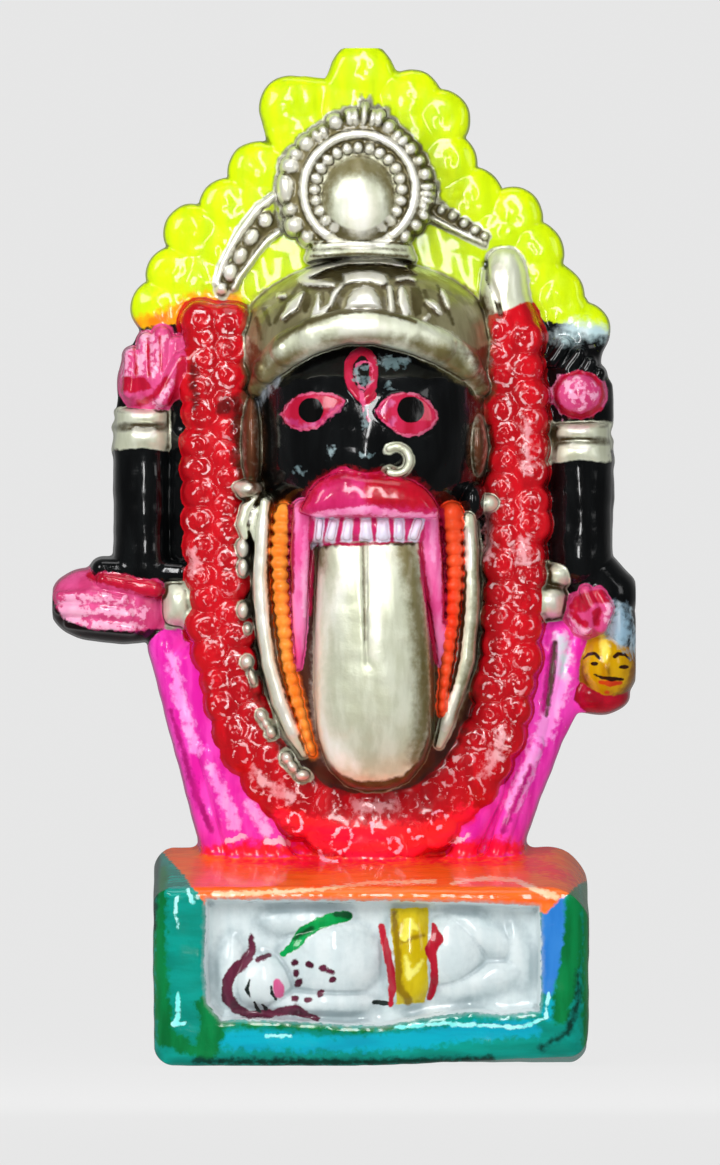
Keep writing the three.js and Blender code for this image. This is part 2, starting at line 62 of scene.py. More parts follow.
# Pieces of the mesh from its foot up, five so that each stays under 200,000 triangles.
PARTS = ["painted_foot", "painted_body", "painted_face", "painted_crown", "painted_top"]
BACK_LAYER = 0.3 # how far in front of the flat back the mesh is thinned out most
BACK_ROUND = 0.6
FAR = 30.0
TINY = 1e-6
DRAFT = 0.05 # how much a form's wall spreads towards the back

# Plinth.
PLINTH_WIDTH = 108
PLINTH_DEPTH = 54
SIDE_DRAFT = 0.3
BULGE = 0.5 # how far the ends of the plinth swell halfway up
TOP_FALL = 10
SIDE_ROUND = 6.5
EDGE_ROUND = 3
CORNER_ROUND = 5
RIGHT_CORNER_ROUND = 10
FOOT_ROUND = 4.5
FOOT_RISE = 2.6 # how much the front of the foot rises to the right
RECESS_DEPTH = 6
RECESS_LEAN = 0.2
RECESS_ROUND = 1.5
NICHE_EDGE = 0.35 # how far behind the plinth's front the niche's white paint starts
RECESS = [
    (-41, -12.5), (-17.8, -12.8), (7.3, -13), (24.8, -13.3), (41.8, -14.3), (42.3, -20.8),
    (42.3, -35.8), (41.8, -40.3), (32.3, -41.3), (24.8, -40.5), (14.8, -41.8), (3.5, -44),
    (-6.5, -44), (-12.8, -43.3), (-32.8, -42.5), (-37.3, -42.8), (-40.8, -38.5), (-41.5, -28.3),
]
SHIVA = [
    dict(x=-27, up=-33, wide=7.6, tall=6.6, rise=5, tilt=0.1),
    dict(x=-34.6, up=-30.5, wide=3.2, tall=8.6, rise=3),
    dict(x=-10, up=-27.6, wide=13, tall=9.6, rise=4.6),
    dict(x=-13, up=-38.4, wide=14, tall=3.4, rise=3.6),
    dict(x=-16, up=-18.2, wide=11, tall=3.6, rise=3),
    dict(x=9.6, up=-27, wide=6.4, tall=12.6, rise=5.6),
    dict(x=19.5, up=-25.5, wide=8.5, tall=8.6, rise=4.6),
    dict(x=27, up=-21.4, wide=9.5, tall=3.8, rise=3.2, tilt=-0.5),
    dict(x=27.6, up=-33, wide=11, tall=3.6, rise=3, tilt=0.28),
    dict(x=36.6, up=-26.6, wide=2.8, tall=7, rise=1.8, tilt=0.2),
]
SHIVA_SINK = 0.5
SHIVA_BLEND = 2.0

# Backing and halo.
SLAB_OUT = 12
SWELLS = [(23, 0.6, 0.12), (11, 1.1, 0.09), (6.3, 0.8, 0.05)] # length in squares, turn and height
SWELL_ALONG = 1.6 # half waves in a swell's length, along it
SLAB_ROUND = 2.6
LEFT_OUTLINE = [
    (-41, -9), (-41, 2), (-45.2, 15.5), (-48.2, 25.5), (-51.5, 37), (-55, 52), (-62, 60),
    (-62.5, 72), (-63.5, 88), (-62.8, 98), (-63.8, 108), (-62.4, 121), (-58.5, 127.5),
]
RIGHT_OUTLINE = [
    (56.8, 120.5), (60, 115.5), (59.8, 106), (59.6, 96), (60.4, 87), (58.8, 71.5), (65, 67),
    (66.2, 52), (65.5, 42), (60, 34.5), (51.5, 33.5), (47.2, 26), (43, 16.5), (37.5, 4), (36.5, -9),
]
HALO_EDGE = [
    (-55.2, 130.2, 4.3), (-53.2, 140, 3.8), (-47.8, 148.2, 5.3), (-42, 159, 1.6),
    (-35.2, 166.5, 3.1), (-25.2, 175.2, 8.3), (-11.5, 192.2, 7.1), (7, 193, 1.2),
    (16.8, 189.2, 3.4), (22.2, 176.8, 0.8), (25, 169, 0.9), (32.2, 163.5, 3.3),
    (41.8, 155.8, 1.4), (47.2, 146.2, 0.8), (53.5, 134.5, 2.4), (57.2, 126.8, 0),
]
LOBE_STEPS = 8
LOBE_SWELL = 0.7
HALO_FLOWER = dict(inset=5.5, size=6.8, out=11, rise=1.9, pitch=5.4, depth=0.4, phase=2.4)
# How many petals wind round a rose or flower, how flat they get, and how far out they reach.
PETALS = dict(count=3, least=0.6, reach=1.3)
HALO_INNER_FLOWERS = [
    (-42, 141.5), (-37, 150), (-28, 160), (-18, 178), (-4, 183), (11, 178), (24, 161), (32.5, 153.5),
    (41, 142), (48, 133),
]

# Beaded arch on the halo, and the sword's tip beside the crown.
ARCH_LINES = [
    [
        (-38.6, 141, 0.7), (-37, 146, 0.8), (-34, 151.6, 0.9), (-31, 156, 0.9), (-28, 160, 0.9),
        (-24.4, 162.6, 0.8)],
    [
        (-34.4, 139.6, 0.5), (-32.6, 143, 0.6), (-30, 146.4, 0.6), (-28, 149, 0.6), (-26, 151.6, 0.6),
        (-23, 153.8, 0.6)],
    [(15.4, 157.2, 0.5), (19.6, 155, 0.6), (24.2, 152.8, 0.6), (28.4, 150.8, 0.5)],
]
ARCH_BEADS = [
    (-26.4, 156.6, 2.2, 1.9), (-29.9, 152.4, 2.6, 1.8), (-32.6, 147.8, 2.5, 1.8), (-35.2, 143.6, 2.5, 2),
    (-37.4, 139.6, 1.7, 1.6), (17.6, 159.2, 1.1, 1.2), (20.4, 157.7, 1.2, 1.4), (23.2, 156, 1.2, 1.4),
    (26, 154.2, 1.2, 1.4), (28.4, 152.6, 1.1, 1.2),
]
ARCH_MIDDLE = (-3, 134)
ARCH_BEAD = dict(rise=2.4, square=0.8, lit=0.8)
ARCH_BED = dict(height=0.5, round=0.4)
ARCH_LIFT = 1
ARCH_BEDS = [
    [
        (-39, 140), (-37, 146), (-34, 151.6), (-31, 156), (-28, 160), (-24.4, 162.6), (-23, 153.8),
        (-26, 151.6), (-28, 149), (-30, 146.4), (-32.6, 143), (-34.4, 139)],
    [(14.8, 161.4), (22, 158.2), (30, 153), (28.8, 149.8), (24, 151.8), (14.8, 156)],
]
SWORD = dict(x=33.4, up=137, wide=5.9, tall=12.8, out=12, rise=8.5, square=0.8)
SWORD_GROOVE = [(28.8, 146, 0.4), (29.2, 142, 0.6), (31, 138.4, 0.7), (32.4, 133, 0.5)]

# Round crest of the crown.
DISC = dict(x=-3.6, up=164, radius=17.3, front=25.6, foot=14, round=1.5)
# Pearls round the crest, each x, up, half its width and half its length outwards.
DISC_PEARLS = [
    (-16, 152.3, 1.6, 1.6), (-19.1, 155.4, 2.2, 2.2), (-20, 159.2, 1.6, 1.7), (-21.2, 164.5, 3.6, 2),
    (-20.1, 170.1, 2, 2.1), (-18.8, 173, 1.6, 1.8), (-16.2, 175.6, 2, 1.9), (-13.6, 177.6, 1.1, 1.8),
    (-11.8, 178.6, 1.1, 1.7), (-8.9, 180.9, 1.8, 1.8), (-5.4, 181.9, 0.9, 2.1), (-3.9, 182, 0.9, 2.1),
    (-1.7, 182.6, 0.8, 3), (0.4, 181.8, 0.9, 2), (2, 181.8, 1, 2.1), (4.4, 179.7, 1.5, 1.6),
    (6.5, 177.6, 1.1, 1.6), (8, 176.3, 1, 1.6), (9.9, 174.2, 1.5, 1.5), (12, 171.4, 1.3, 1.4),
    (13.5, 168, 1.6, 1.5), (14, 164.8, 1, 1.8), (14, 163.1, 0.9, 1.8), (13.9, 161.5, 0.9, 1.6),
    (13.2, 159.9, 1, 1.2), (13.1, 157.7, 1.2, 1.5), (11.2, 155.2, 1.5, 1.5), (8.5, 152.4, 1.6, 1.3),
]
PEARL = dict(sink=1.4, rise=2.4, square=0.85, lit=0.86)
DISC_RING = dict(x=-2.9, up=164, radius=14, thick=1.15, open=74, count=26, lift=0.6, lit=1)
DISC_INNER = dict(
    x=-3.2, up=163.8, ring=10.9, count=21, size=1.4, open=66, stretch=1.15, rise=1.7, lit=(0.8, 0.9))
DISC_MIDDLE = (DISC_RING["x"], DISC_RING["up"])
DISC_GROUND_OUTER = 19
DISC_GROUND_WIDE = 9
DISC_GROUND_FOOT = 151.2
CREST_REACH = 24 # how far from the crest's middle its dark outline, painted shade along the gold's edge, is drawn
OUTLINE = 0.5
DISC_DOME = dict(x=-3.2, up=160.6, wide=9.2, tall=11.4, rise=6.4)
DISC_DOME_SINK = 1
DISC_DOME_AREA = [(-20, 151), (-20, 180), (20, 180), (20, 151)]
DISC_DOME_ROUND = 1.5

CROWN = dict(x=-1, up=125, wide=32.6, tall=22, out=10, rise=32)
CROWN_ROUND = 1
CROWN_AREA = [
    (-36, 112), (-30.5, 113.5), (-27.6, 119.5), (-21.5, 124.2), (-14.5, 127.8), (-6.5, 130), (1, 130),
    (9.8, 128), (17.3, 124.8), (24.5, 120.6), (29, 115), (36, 112), (36, 150), (-36, 150),
]
CROWN_NECKS = [
    dict(x=-2.6, foot=149.4, top=150.6, wide=12, thick=0.6, out=21, rise=6.6, count=20),
    dict(x=-2.6, foot=148.2, top=149.5, wide=12.4, thick=0.6, out=21, rise=7, count=20),
    dict(x=-2.6, foot=147, top=148.4, wide=12.9, thick=0.7, out=21, rise=7.4, count=20),
]
NECK_SWELL = 0.7
BROW_BAND = [
    (-28.4, 114.4, 2.2, 3), (-26, 119.3, 3.5, 10), (-21, 124, 4.3, 16), (-14.5, 127.8, 4.4, 19.6),
    (-6.5, 130, 4.2, 21.5), (1, 130, 4.2, 21.5), (9.8, 128, 4.3, 19.8), (17.3, 124.8, 4.3, 17),
    (23.6, 120.6, 3.8, 12.5), (27.2, 115, 2.4, 6),
]
BROW_OUT = 19
LEAF_HEIGHT = 1
LEAF_ROUND = 0.5
HALF_DOME_HEIGHT = 2.2
# Leaves on the crown between the brow band and the neck, as strokes of x, up and half a width.
CROWN_LEAVES = [
    [
        (-17.4, 141.8, 1.1), (-15.4, 143.2, 1.2), (-11.5, 144.9, 0.6), (-6.5, 146.2, 0.7),
        (0.6, 146.6, 0.8), (5, 146.2, 0.7), (8.5, 145.2, 0.4)],
    [(-16.6, 141.2, 0.9), (-12.6, 140.7, 0.7), (-9.4, 140.4, 0.5)],
    [
        (-7.2, 140.2, 0.5), (-9.4, 137.8, 0.6), (-10.3, 135.2, 0.5), (-12.4, 133.4, 0.7),
        (-14.4, 132.8, 0.6)],
    [(-13.2, 137.8, 0.4), (-13.4, 135, 0.7), (-13.8, 133.4, 1)],
    [(-16.9, 138.4, 0.3), (-19.4, 135.2, 1.3), (-22.2, 131.9, 0.4)],
    [(-23, 137.6, 0.6), (-21.6, 137.8, 0.5)], [(4.6, 139.6, 0.7), (4.9, 137, 0.8), (5.1, 134.2, 0.8)],
    [(6.6, 141.9, 0.5), (9.4, 142.3, 0.5), (11, 141.6, 0.3)],
    [(7.6, 139, 0.8), (8, 136, 1.3), (8.8, 133.6, 1.1)],
    [(13.8, 136.4, 0.4), (15.8, 135.3, 0.8), (17.4, 133.4, 0.4)],
    [(14.4, 132.6, 0.4), (13.6, 131.8, 0.7)],
    [(17.8, 138.8, 0.4), (18.6, 136.8, 0.7), (19.4, 134.6, 0.3)],
]
CROWN_CRESCENT = [
    (-15.3, 142.3), (-11, 143.9), (-6, 145), (0, 145.2), (5, 144.8), (9.4, 144), (11.4, 142.8),
    (8, 142.3), (5, 141.8), (4.2, 143.2), (1, 144.1), (-4, 144.2), (-7, 143.3), (-7.2, 141.2),
    (-8.8, 141.2), (-10, 142.2),
]
CROWN_BLOCK = [
    (-6.9, 143), (-3, 143.7), (1, 143.7), (3.3, 143), (4.3, 141), (3, 140.2), (-0.6, 141.2), (-4.6, 140.9),
    (-6.8, 140.2),
]
CROWN_HALF_DOME = [
    (-6.3, 134.4), (-6, 136.4), (-4.6, 138.8), (-2, 140), (0.4, 139.4), (2, 137), (2.5, 134.4),
]

FACE = dict(x=0.2, up=105, wide=29, tall=25, out=13, rise=30.5, square=0.62)
NOSE = [(-1.5, 110, 1.7, 0), (-1.6, 103, 2, 1.6), (-1.6, 97.5, 2.3, 3.6)]
NOSE_OUT = 37.8
NOSE_TIP = dict(x=-1.6, up=96.6, wide=4.2, tall=3.4, out=40.6, rise=3)
NOSTRILS = [
    dict(x=-6.2, up=96.4, wide=3, tall=2.6, out=38.6, rise=2.4),
    dict(x=3.1, up=96.4, wide=3, tall=2.6, out=38.6, rise=2.4),
]
NOSE_RING = dict(x=6.2, up=96.5, radius=3.4, thick=0.9, out=43, start=120, stop=-115, count=12)
EARS = [
    dict(x=-29.8, up=101, wide=2.4, tall=11.5, out=22, rise=6),
    dict(x=26.6, up=100.4, wide=2.4, tall=7.6, out=24, rise=6),
]
KNOBS = [
    dict(x=-30.4, up=89.4, wide=3.2, tall=2.4, out=24, rise=5),
    dict(x=29.4, up=86, wide=2.4, tall=2.2, out=22, rise=4),
]
EAR_LEAVES = [
    [(-28.6, 87.4, 0.9, 0), (-31, 84.6, 1.2, 0), (-32.2, 80.6, 1.2, 0), (-31.4, 77.6, 0.8, 0)],
    [(-26.4, 86.4, 0.8, 0), (-28.8, 83.4, 1.1, 0), (-29.4, 79.4, 1, 0), (-28.8, 77, 0.7, 0)],
]
LEAF_OUT = 26
TEMPLE_KNOT = dict(x=25.4, up=86.6, wide=3.2, tall=5, out=22, rise=7)

# Eyes and brow mark, painted and slightly raised.
LEFT_EYE = [
    (-22.5, 108), (-20.8, 110.8), (-18.3, 112.8), (-14.8, 113.5), (-10.8, 113.3), (-7.8, 112.5),
    (-6.3, 111.3), (-8.3, 109), (-10.8, 106.8), (-13.3, 104.5), (-16.3, 103.8), (-19.3, 104.3),
    (-21.5, 105.8),
]
RIGHT_EYE = [
    (1, 108.8), (2.8, 111.3), (5.3, 113), (7.8, 113.5), (11.3, 113), (14.3, 111.3), (16.3, 108.8),
    (16.8, 106.8), (14.8, 104.3), (12.3, 102.8), (9.8, 102.3), (6.8, 103), (3.8, 105.3), (1.8, 107),
]
THIRD_EYE = [
    (-2.5, 125), (-0.3, 124.3), (1.3, 122.3), (1.8, 119.3), (1.5, 114.8), (0.3, 112.3), (-1.8, 110.5),
    (-3.8, 111.8), (-5.8, 114.3), (-6.8, 117.8), (-6.5, 121.3), (-4.8, 123.8),
]
THIRD_EYE_HOLE = [
    (-2.3, 121.3), (-0.3, 121.3), (0.8, 119.3), (0.5, 116.3), (-1.3, 113.8), (-3.3, 114.8),
    (-4.3, 117.8), (-4, 120.3),
]
PUPILS = [dict(x=-15, up=109, wide=3.1, tall=3.1), dict(x=9.9, up=109.1, wide=3.4, tall=3.3)]
THIRD_EYE_WIDE = 2.4
EYE_HEIGHT = 0.7
EYE_ROUND = 0.7

LIP = [
    (-17.8, 83.8), (-16.8, 86), (-15.3, 88.8), (-12.8, 91.5), (-9.8, 93), (-6.5, 93.8), (-1.5, 93),
    (3.5, 92.5), (7.3, 92.3), (10.3, 91.5), (13.5, 89.3), (15.5, 86.8), (16.8, 84.3), (16.3, 82.3),
    (12.3, 82), (-1.5, 82.3), (-13.8, 82.3),
]
LIP_TOP = 45.5
LIP_ROUND = 4.6
GUM = dict(x=-0.6, up=80, wide=15.6, tall=4.4, out=32, rise=8, square=0.4)
TEETH = [ # the middle, half the width and the lean of each
    (-12.9, 0.8, -0.1), (-9.6, 1.1, -0.25), (-5.8, 1.2, -0.15), (-1.3, 1.35, 0), (3, 1.5, 0.05), (7, 1.1, 0),
    (11.2, 1.1, -0.3),
]
TOOTH = dict(up=79.3, tall=2.7, out=38, rise=3.2, square=0.5)
TONGUE = dict(x=0.9, up=50.5, wide=15.6, tall=36.3, out=28, rise=14, square=0.55)
TONGUE_ROUND = 1.6
TONGUE_AREA = [
    (-13.6, 77.4), (-8, 76.8), (0, 77.2), (8, 76.6), (12.8, 77.4), (13.4, 66), (15, 52), (16, 38),
    (15.8, 28), (13.6, 21.4), (9.2, 16.4), (4, 13.9), (-1, 13.7), (-6, 15.2), (-10.6, 19.6), (-13.6, 27),
    (-14.8, 38), (-14.6, 54), (-13.8, 68),
]
TONGUE_GROOVE = [(-1.5, 76, 0.55), (-1.4, 62, 0.45), (-1.2, 52, 0.35), (-0.9, 46, 0.15)]
CHEEK_STRANDS = [
    [(-17, 84.5, 2.4, 6), (-17.8, 72, 2.3, 5), (-17.7, 60, 1.8, 3), (-17.8, 50, 1.2, 1), (-18, 45, 0.6, 0)],
    [(13.8, 84, 2.6, 6), (14.8, 74, 2.8, 5), (16.2, 62, 2, 3), (17.2, 52, 1.1, 1), (17.6, 46, 0.6, 0)],
]
CHEST = dict(x=-0.5, up=55, wide=27, tall=44, out=12, rise=20, square=0.7)

# Garland and necklaces.
GARLAND = [
    (-38.8, 129), (-39.2, 91.8), (-38.8, 71.8), (-37.8, 56.8), (-35.2, 39.3), (-29.8, 25.5), (-20.3, 13),
    (-7.8, 5.2), (3.5, 4), (14.8, 8.4), (24.8, 18), (31.8, 30.5), (34.8, 44.3), (35.6, 61.8),
    (36.4, 81.8), (36.6, 101.8), (35.8, 119.3), (34.8, 131),
]
GARLAND_BASE = dict(thick=6.6, out=14.8, melts_below=10)
GARLAND_TOP = dict(start=(-43, 131), stop=(-34, 131), thick=4.4, out=16, rise=6.2)
# Roses in two rows. Each spread is the least and the most share of a size, but the rise's spread is
# a share and what a rose's turn adds to it.
ROSE = dict(
    aside=3.5, aside_spread=(0.75, 1.15), pitch=6.4, size=4.6, size_spread=(0.85, 1.12), out=18.6, rise=3.4,
    rise_spread=(0.9, 0.03), turn=2.6, depth=0.6, stray=1.1, seed=11)
TOP_ROSES = [(-42.4, 131.6, 0.6), (-35.6, 130.6, 3.2)] # x, up and turn
ROSE_FADE = (4, 26, 0.4) # between these heights roses grow from this share to their whole rise
CORDS = [
    [(-26.4, 86, 1.3, 0), (-27, 78, 1.8, 0), (-27.6, 68, 1.9, 0), (-26.8, 56, 1.9, 0), (-25.4, 46, 1.8, 0),
     (-22.6, 36, 1.9, 0), (-19.4, 28.6, 1.7, 0), (-16.6, 23.4, 0.9, -1)],
    [(24.2, 82, 1.5, 0), (25, 73, 1.8, 0), (24.9, 60, 1.9, 0), (23.8, 47, 1.9, 0), (21.4, 38.6, 1.8, 0),
     (18.8, 31, 1.6, 0), (17, 25.6, 0.9, -1)],
]
CORD_OUT = 28
BEADS = [
    [(-21.8, 84), (-22.8, 74), (-22.4, 60), (-20.8, 47), (-18.6, 37), (-16, 28), (-14.6, 23.6)],
    [(20.4, 82), (20.9, 70), (20.4, 58), (19, 46), (17.9, 38), (17.6, 33.6)],
]
BEAD = dict(pitch=2.9, size=2.7, least=1.2, wide=0.95, tall=0.6, strand=0.68, out=28.8, rise=2.9)
ROUND_BEAD = dict(x=20, up=83.4, wide=2.8, tall=2.8, out=28, rise=4)
DASHES = [ # the middle, half the width, half the length and the lean of each
    (-32, 90, 2.4, 1.2, 0), (-32, 74.6, 1.5, 2.3, 0.1), (-31.9, 69.8, 1.2, 2.2, 0), (-31.9, 59, 1.3, 1.9, 0),
    (-30.8, 54.6, 0.9, 1.3, 0), (-30.9, 46.4, 1.4, 1.7, 0), (-29.6, 42.4, 0.7, 2, 0.3),
    (-27.4, 32.9, 1.2, 1.6, 0.5), (-26.2, 30.8, 0.9, 1.2, 0.5), (-25, 28.8, 1.1, 1.4, 0.4),
    (-21, 22.4, 1.2, 1.4, 0.6), (-19.6, 20.2, 0.9, 1.5, 0.7), (-17, 18, 1.7, 1.2, 0),
]
DASH = dict(out=24.4, rise=2.4)

# Raised left arm, on the viewer's left, and the lowered hand beneath it.
LEFT_FOREARM = dict(start=(-57.2, 99), stop=(-57.2, 70), thick=6.8, out=12)
LEFT_BANGLES = [
    dict(x=-56.8, up=107.2, wide=6.7, tall=2.6, out=12, rise=7.8, square=0.5),
    dict(x=-56.9, up=102.2, wide=6.9, tall=3.4, out=12, rise=8.2, square=0.5),
]
LEFT_UPPER = dict(start=(-46.8, 122), stop=(-46.6, 74), thick=3.4, out=14)
LEFT_PALM = dict(x=-54.6, up=116.5, wide=8.4, tall=8.8, out=12, rise=7)
LEFT_FINGERS = [
    dict(start=(-60, 114), stop=(-59.6, 122.6), thick=2.1, out=16.6),
    dict(start=(-56.4, 114), stop=(-56, 126.4), thick=2.1, out=17),
    dict(start=(-52.8, 114), stop=(-52.4, 128), thick=2.1, out=17),
    dict(start=(-49.4, 114), stop=(-48.9, 125.4), thick=2, out=16.6),
]
LEFT_THUMB = dict(start=(-52, 112.6), stop=(-47.4, 121.4), thick=2.3, out=18.4)
LOW_PALM = dict(x=-65.4, up=60.2, wide=14.6, tall=8.8, out=10, rise=8, tilt=-0.12, square=0.8)
LOW_THUMB = dict(start=(-66.5, 66.6), stop=(-54, 64.4), thick=2, out=17)
LOW_FINGERS = [
    [(-77.5, 62.6, 1.4, 0), (-70, 62.8, 1.7, 1), (-62, 61.6, 1.7, 1.4)],
    [(-77.8, 59.4, 1.4, 0), (-70, 59.2, 1.7, 1.2), (-61, 58, 1.7, 1.6)],
    [(-75.4, 56, 1.3, -0.4), (-68, 55.4, 1.6, 0.8), (-60, 54.6, 1.6, 1)],
]
LOW_FINGER_OUT = 15.6
LEFT_ELBOW = dict(start=(-67, 69.4), stop=(-45, 68.6), thick=2.6, out=15)
LOW_BANGLE = dict(x=-47.9, up=61, wide=4.4, tall=5.9, out=12, rise=8, square=0.6)

# Raised right arm and the lowered hand that holds the severed head.
RIGHT_FOREARM = dict(start=(52.4, 97), stop=(52.2, 72), thick=7.8, out=11.5)
RIGHT_BANGLES = [
    dict(x=52.3, up=103.6, wide=7.1, tall=2.6, out=12, rise=7.9, square=0.5),
    dict(x=52.3, up=98.8, wide=7.2, tall=3.2, out=12, rise=8.2, square=0.5),
]
RIGHT_PALM = dict(x=52, up=113.2, wide=6.6, tall=6, out=13, rise=8)
RIGHT_BACKS = [
    dict(x=50.4, up=118, wide=6.4, tall=10, out=10, rise=6, square=0.6),
    dict(x=52.4, up=110.4, wide=7.7, tall=7.6, out=10, rise=6, square=0.6),
]
RIGHT_FINGERS = [
    dict(start=(45.6, 121.4), stop=(48.4, 125.6), thick=1.7, out=15),
    dict(start=(49.4, 119.2), stop=(52, 123.2), thick=1.7, out=15.2),
    dict(start=(52.6, 117.2), stop=(54.8, 120.8), thick=1.6, out=15.2),
    dict(start=(55, 114.8), stop=(57, 118.4), thick=1.5, out=15),
]
RIGHT_ELBOW = dict(start=(51, 72), stop=(59.5, 63), thick=7, out=10.5)
FIST_BANGLES = [
    dict(x=46.8, up=68, wide=3.6, tall=3.4, out=12, rise=7.4, square=0.8),
    dict(x=44.6, up=61.4, wide=4.4, tall=4.4, out=12, rise=8.4, square=0.8),
]
FIST = dict(x=54.4, up=58.6, wide=5.8, tall=6.4, out=12, rise=8)
FIST_FINGERS = [
    [(56.8, 63.4, 1.6, 0), (59, 59.4, 1.7, 1), (57.4, 55, 1.4, 0)],
    [(53.6, 64, 1.5, 0), (55.6, 59.6, 1.7, 1.4), (53.6, 54.4, 1.4, 0)],
]
FIST_FINGER_OUT = 18.4
HAIR = dict(x=62.2, up=54, wide=3.8, tall=10, out=10, rise=7)
HEAD = dict(x=59.3, up=45.2, wide=7.2, tall=8.6, out=10, rise=9.5)
HEAD_NOSE = dict(x=58.8, up=44.4, wide=1.1, tall=2.6, out=18, rise=2.3)
NECK = dict(x=57.4, up=38, wide=7, tall=4.6, out=9, rise=6)

CLOTH_FOLDS = [
    dict(start=(-51, 50), stop=(-37.2, -4), thick=4, out=11.4),
    dict(start=(-45, 46), stop=(-27, -6), thick=4.8, out=13),
    dict(start=(-41, 24), stop=(-32, -7), thick=2.6, out=15),
    dict(start=(-31, 12), stop=(-20, -8), thick=3, out=15),
    dict(start=(46.5, 52), stop=(32, -6), thick=4.2, out=12),
    dict(start=(51, 50), stop=(33.4, -2), thick=3.4, out=11.4),
    dict(start=(41, 26), stop=(30, -6), thick=2.4, out=15),
    dict(start=(30, 14), stop=(20, -8), thick=3, out=15),
]
CLOTH_SLIT = [(46, 51, 0.5), (45.2, 42, 0.7), (43.9, 33, 0.4)]
SLIT_OUT = 16
SLIT_DEPTH = 1.6
CRESCENT_DEPTH = 1
GROOVE_DEPTH = 0.7
GROOVE_ROUND = 0.3


class Flat:
    """A shape drawn on the front: its signed distance, negative inside, and the window round it."""

    def __init__(self, distance, places, reach):
        self.distance = distance
        across = [place[0] for place in places]
        along = [place[1] for place in places]
        self.window = (min(across) - reach, max(across) + reach, min(along) - reach, max(along) + reach)


class Form:
    """A form of the casting: its distance from x, up and out, its window, and how far out it comes."""

    def __init__(self, distance, window, top):
        self.distance = distance
        self.window = window
        self.top = top


def turned(x, up, tilt, px, pu):
    cos, sin = math.cos(tilt), math.sin(tilt)
    return (px - x) * cos + (pu - up) * sin, (pu - up) * cos - (px - x) * sin


def oval_shares(px, pu, x, up, wide, tall, tilt, square, reach):
    """How far a place is from an oval's middle in shares of its size, and that share's slope, squared."""
    aside, above = turned(x, up, tilt, px, pu)
    above = above - np.clip(above, -reach, reach)
    if square == 1:
        share = (aside / wide) ** 2 + (above / tall) ** 2
    else:
        power = 2 / square
        share = (np.abs(aside / wide) ** power + np.abs(above / tall) ** power) ** square
    return share, (aside / wide**2) ** 2 + (above / tall**2) ** 2


def away_from(share, slope, least):
    """A distance from a squared share of a rounded form's size and that share's squared slope."""
    share = np.sqrt(share)
    return (share - 1) * np.maximum(share / np.sqrt(np.maximum(slope, TINY)), least)


def oval(x, up, wide, tall, tilt=0.0, square=1, reach=0.0):
    def distance(px, pu):
        share, slope = oval_shares(px, pu, x, up, wide, tall, tilt, square, reach)
        return away_from(share, slope, min(wide, tall) / 2)

    return Flat(distance, [(x, up)], math.hypot(wide, tall + reach))


def polygon(places):
    corners = [(float(x), float(up)) for x, up in places]

    def distance(px, pu):
        nearest = np.float32(FAR**2)
        inside = False
        for (x0, up0), (x1, up1) in zip(corners, corners[1:] + corners[:1]):
            run, climb = x1 - x0, up1 - up0
            share = np.clip(((px - x0) * run + (pu - up0) * climb) / (run**2 + climb**2), 0, 1)
            gap = (px - x0 - share * run) ** 2 + (pu - up0 - share * climb) ** 2
            nearest = np.minimum(nearest, gap)
            if climb:
                crosses = (up0 > pu) != (up1 > pu)
                inside = inside ^ (crosses & (px < x0 + run / climb * (pu - up0)))
        return np.where(inside, -1, 1) * np.sqrt(nearest)

    return Flat(distance, corners, 0)


def line(places):
    """A stroke through places, each x, up and half its width there."""

    def distance(px, pu):
        nearest = np.float32(FAR)
        for (x0, up0, thick0), (x1, up1, thick1) in zip(places, places[1:]):
            run, climb = x1 - x0, up1 - up0
            share = np.clip(((px - x0) * run + (pu - up0) * climb) / (run**2 + climb**2), 0, 1)
            gap = np.hypot(px - x0 - share * run, pu - up0 - share * climb)
            nearest = np.minimum(nearest, gap - thick0 - share * (thick1 - thick0))
        return nearest

    return Flat(distance, places, max(place[2] for place in places))


def rim(shape, wide):
    """A band just inside a shape's edge."""
    result = Flat(lambda px, pu: np.abs(shape.distance(px, pu) + wide / 2) - wide / 2, [(0, 0)], 0)
    result.window = shape.window
    return result


def dome(x, up, wide, tall, out, rise, tilt=0.0, square=1, reach=0.0):
    """A domed form whose edge stands out from the back."""

    def distance(px, pu, po):
        share, slope = oval_shares(px, pu, x, up, wide, tall, tilt, square, reach)
        height = np.maximum(po - out, 0)
        share = share + (height / rise) ** 2
        slope = slope + (height / rise**2) ** 2
        return away_from(share, slope, min(wide, tall, rise) / 2) + DRAFT * np.minimum(po - out, 0)

    window = oval(x, up, wide, tall, tilt, square, reach).window
    return Form(distance, window, out + rise)


def limb(start, stop, thick, out, rise=None):
    """A straight form between two places, with round ends."""
    aside, above = stop[0] - start[0], stop[1] - start[1]
    return dome(
        x=(start[0] + stop[0]) / 2, up=(start[1] + stop[1]) / 2, wide=thick, tall=thick, out=out,
        rise=rise or thick, tilt=math.atan2(-aside, above), reach=math.hypot(aside, above) / 2)


def strand_piece(first, last, out):
    """A round piece of a strand between two places, each x, up, half its thickness and its lift."""
    x, up, thick, lift = first
    run, climb, swell, rise = (b - a for a, b in zip(first, last))

    def distance(px, pu, po):
        share = np.clip(((px - x) * run + (pu - up) * climb) / (run**2 + climb**2), 0, 1)
        gap = (px - x - share * run) ** 2 + (pu - up - share * climb) ** 2
        height = po - out - lift - share * rise
        round_part = np.sqrt(gap + np.maximum(height, 0) ** 2)
        return round_part - thick - share * swell + DRAFT * np.minimum(height, 0)

    window = Flat(None, [first, last], max(first[2], last[2])).window
    return Form(distance, window, out + max(first[2] + first[3], last[2] + last[3]))


def tube(places, out):
    """The round pieces of a strand that runs through places."""
    return [strand_piece(first, last, out) for first, last in zip(places, places[1:])]


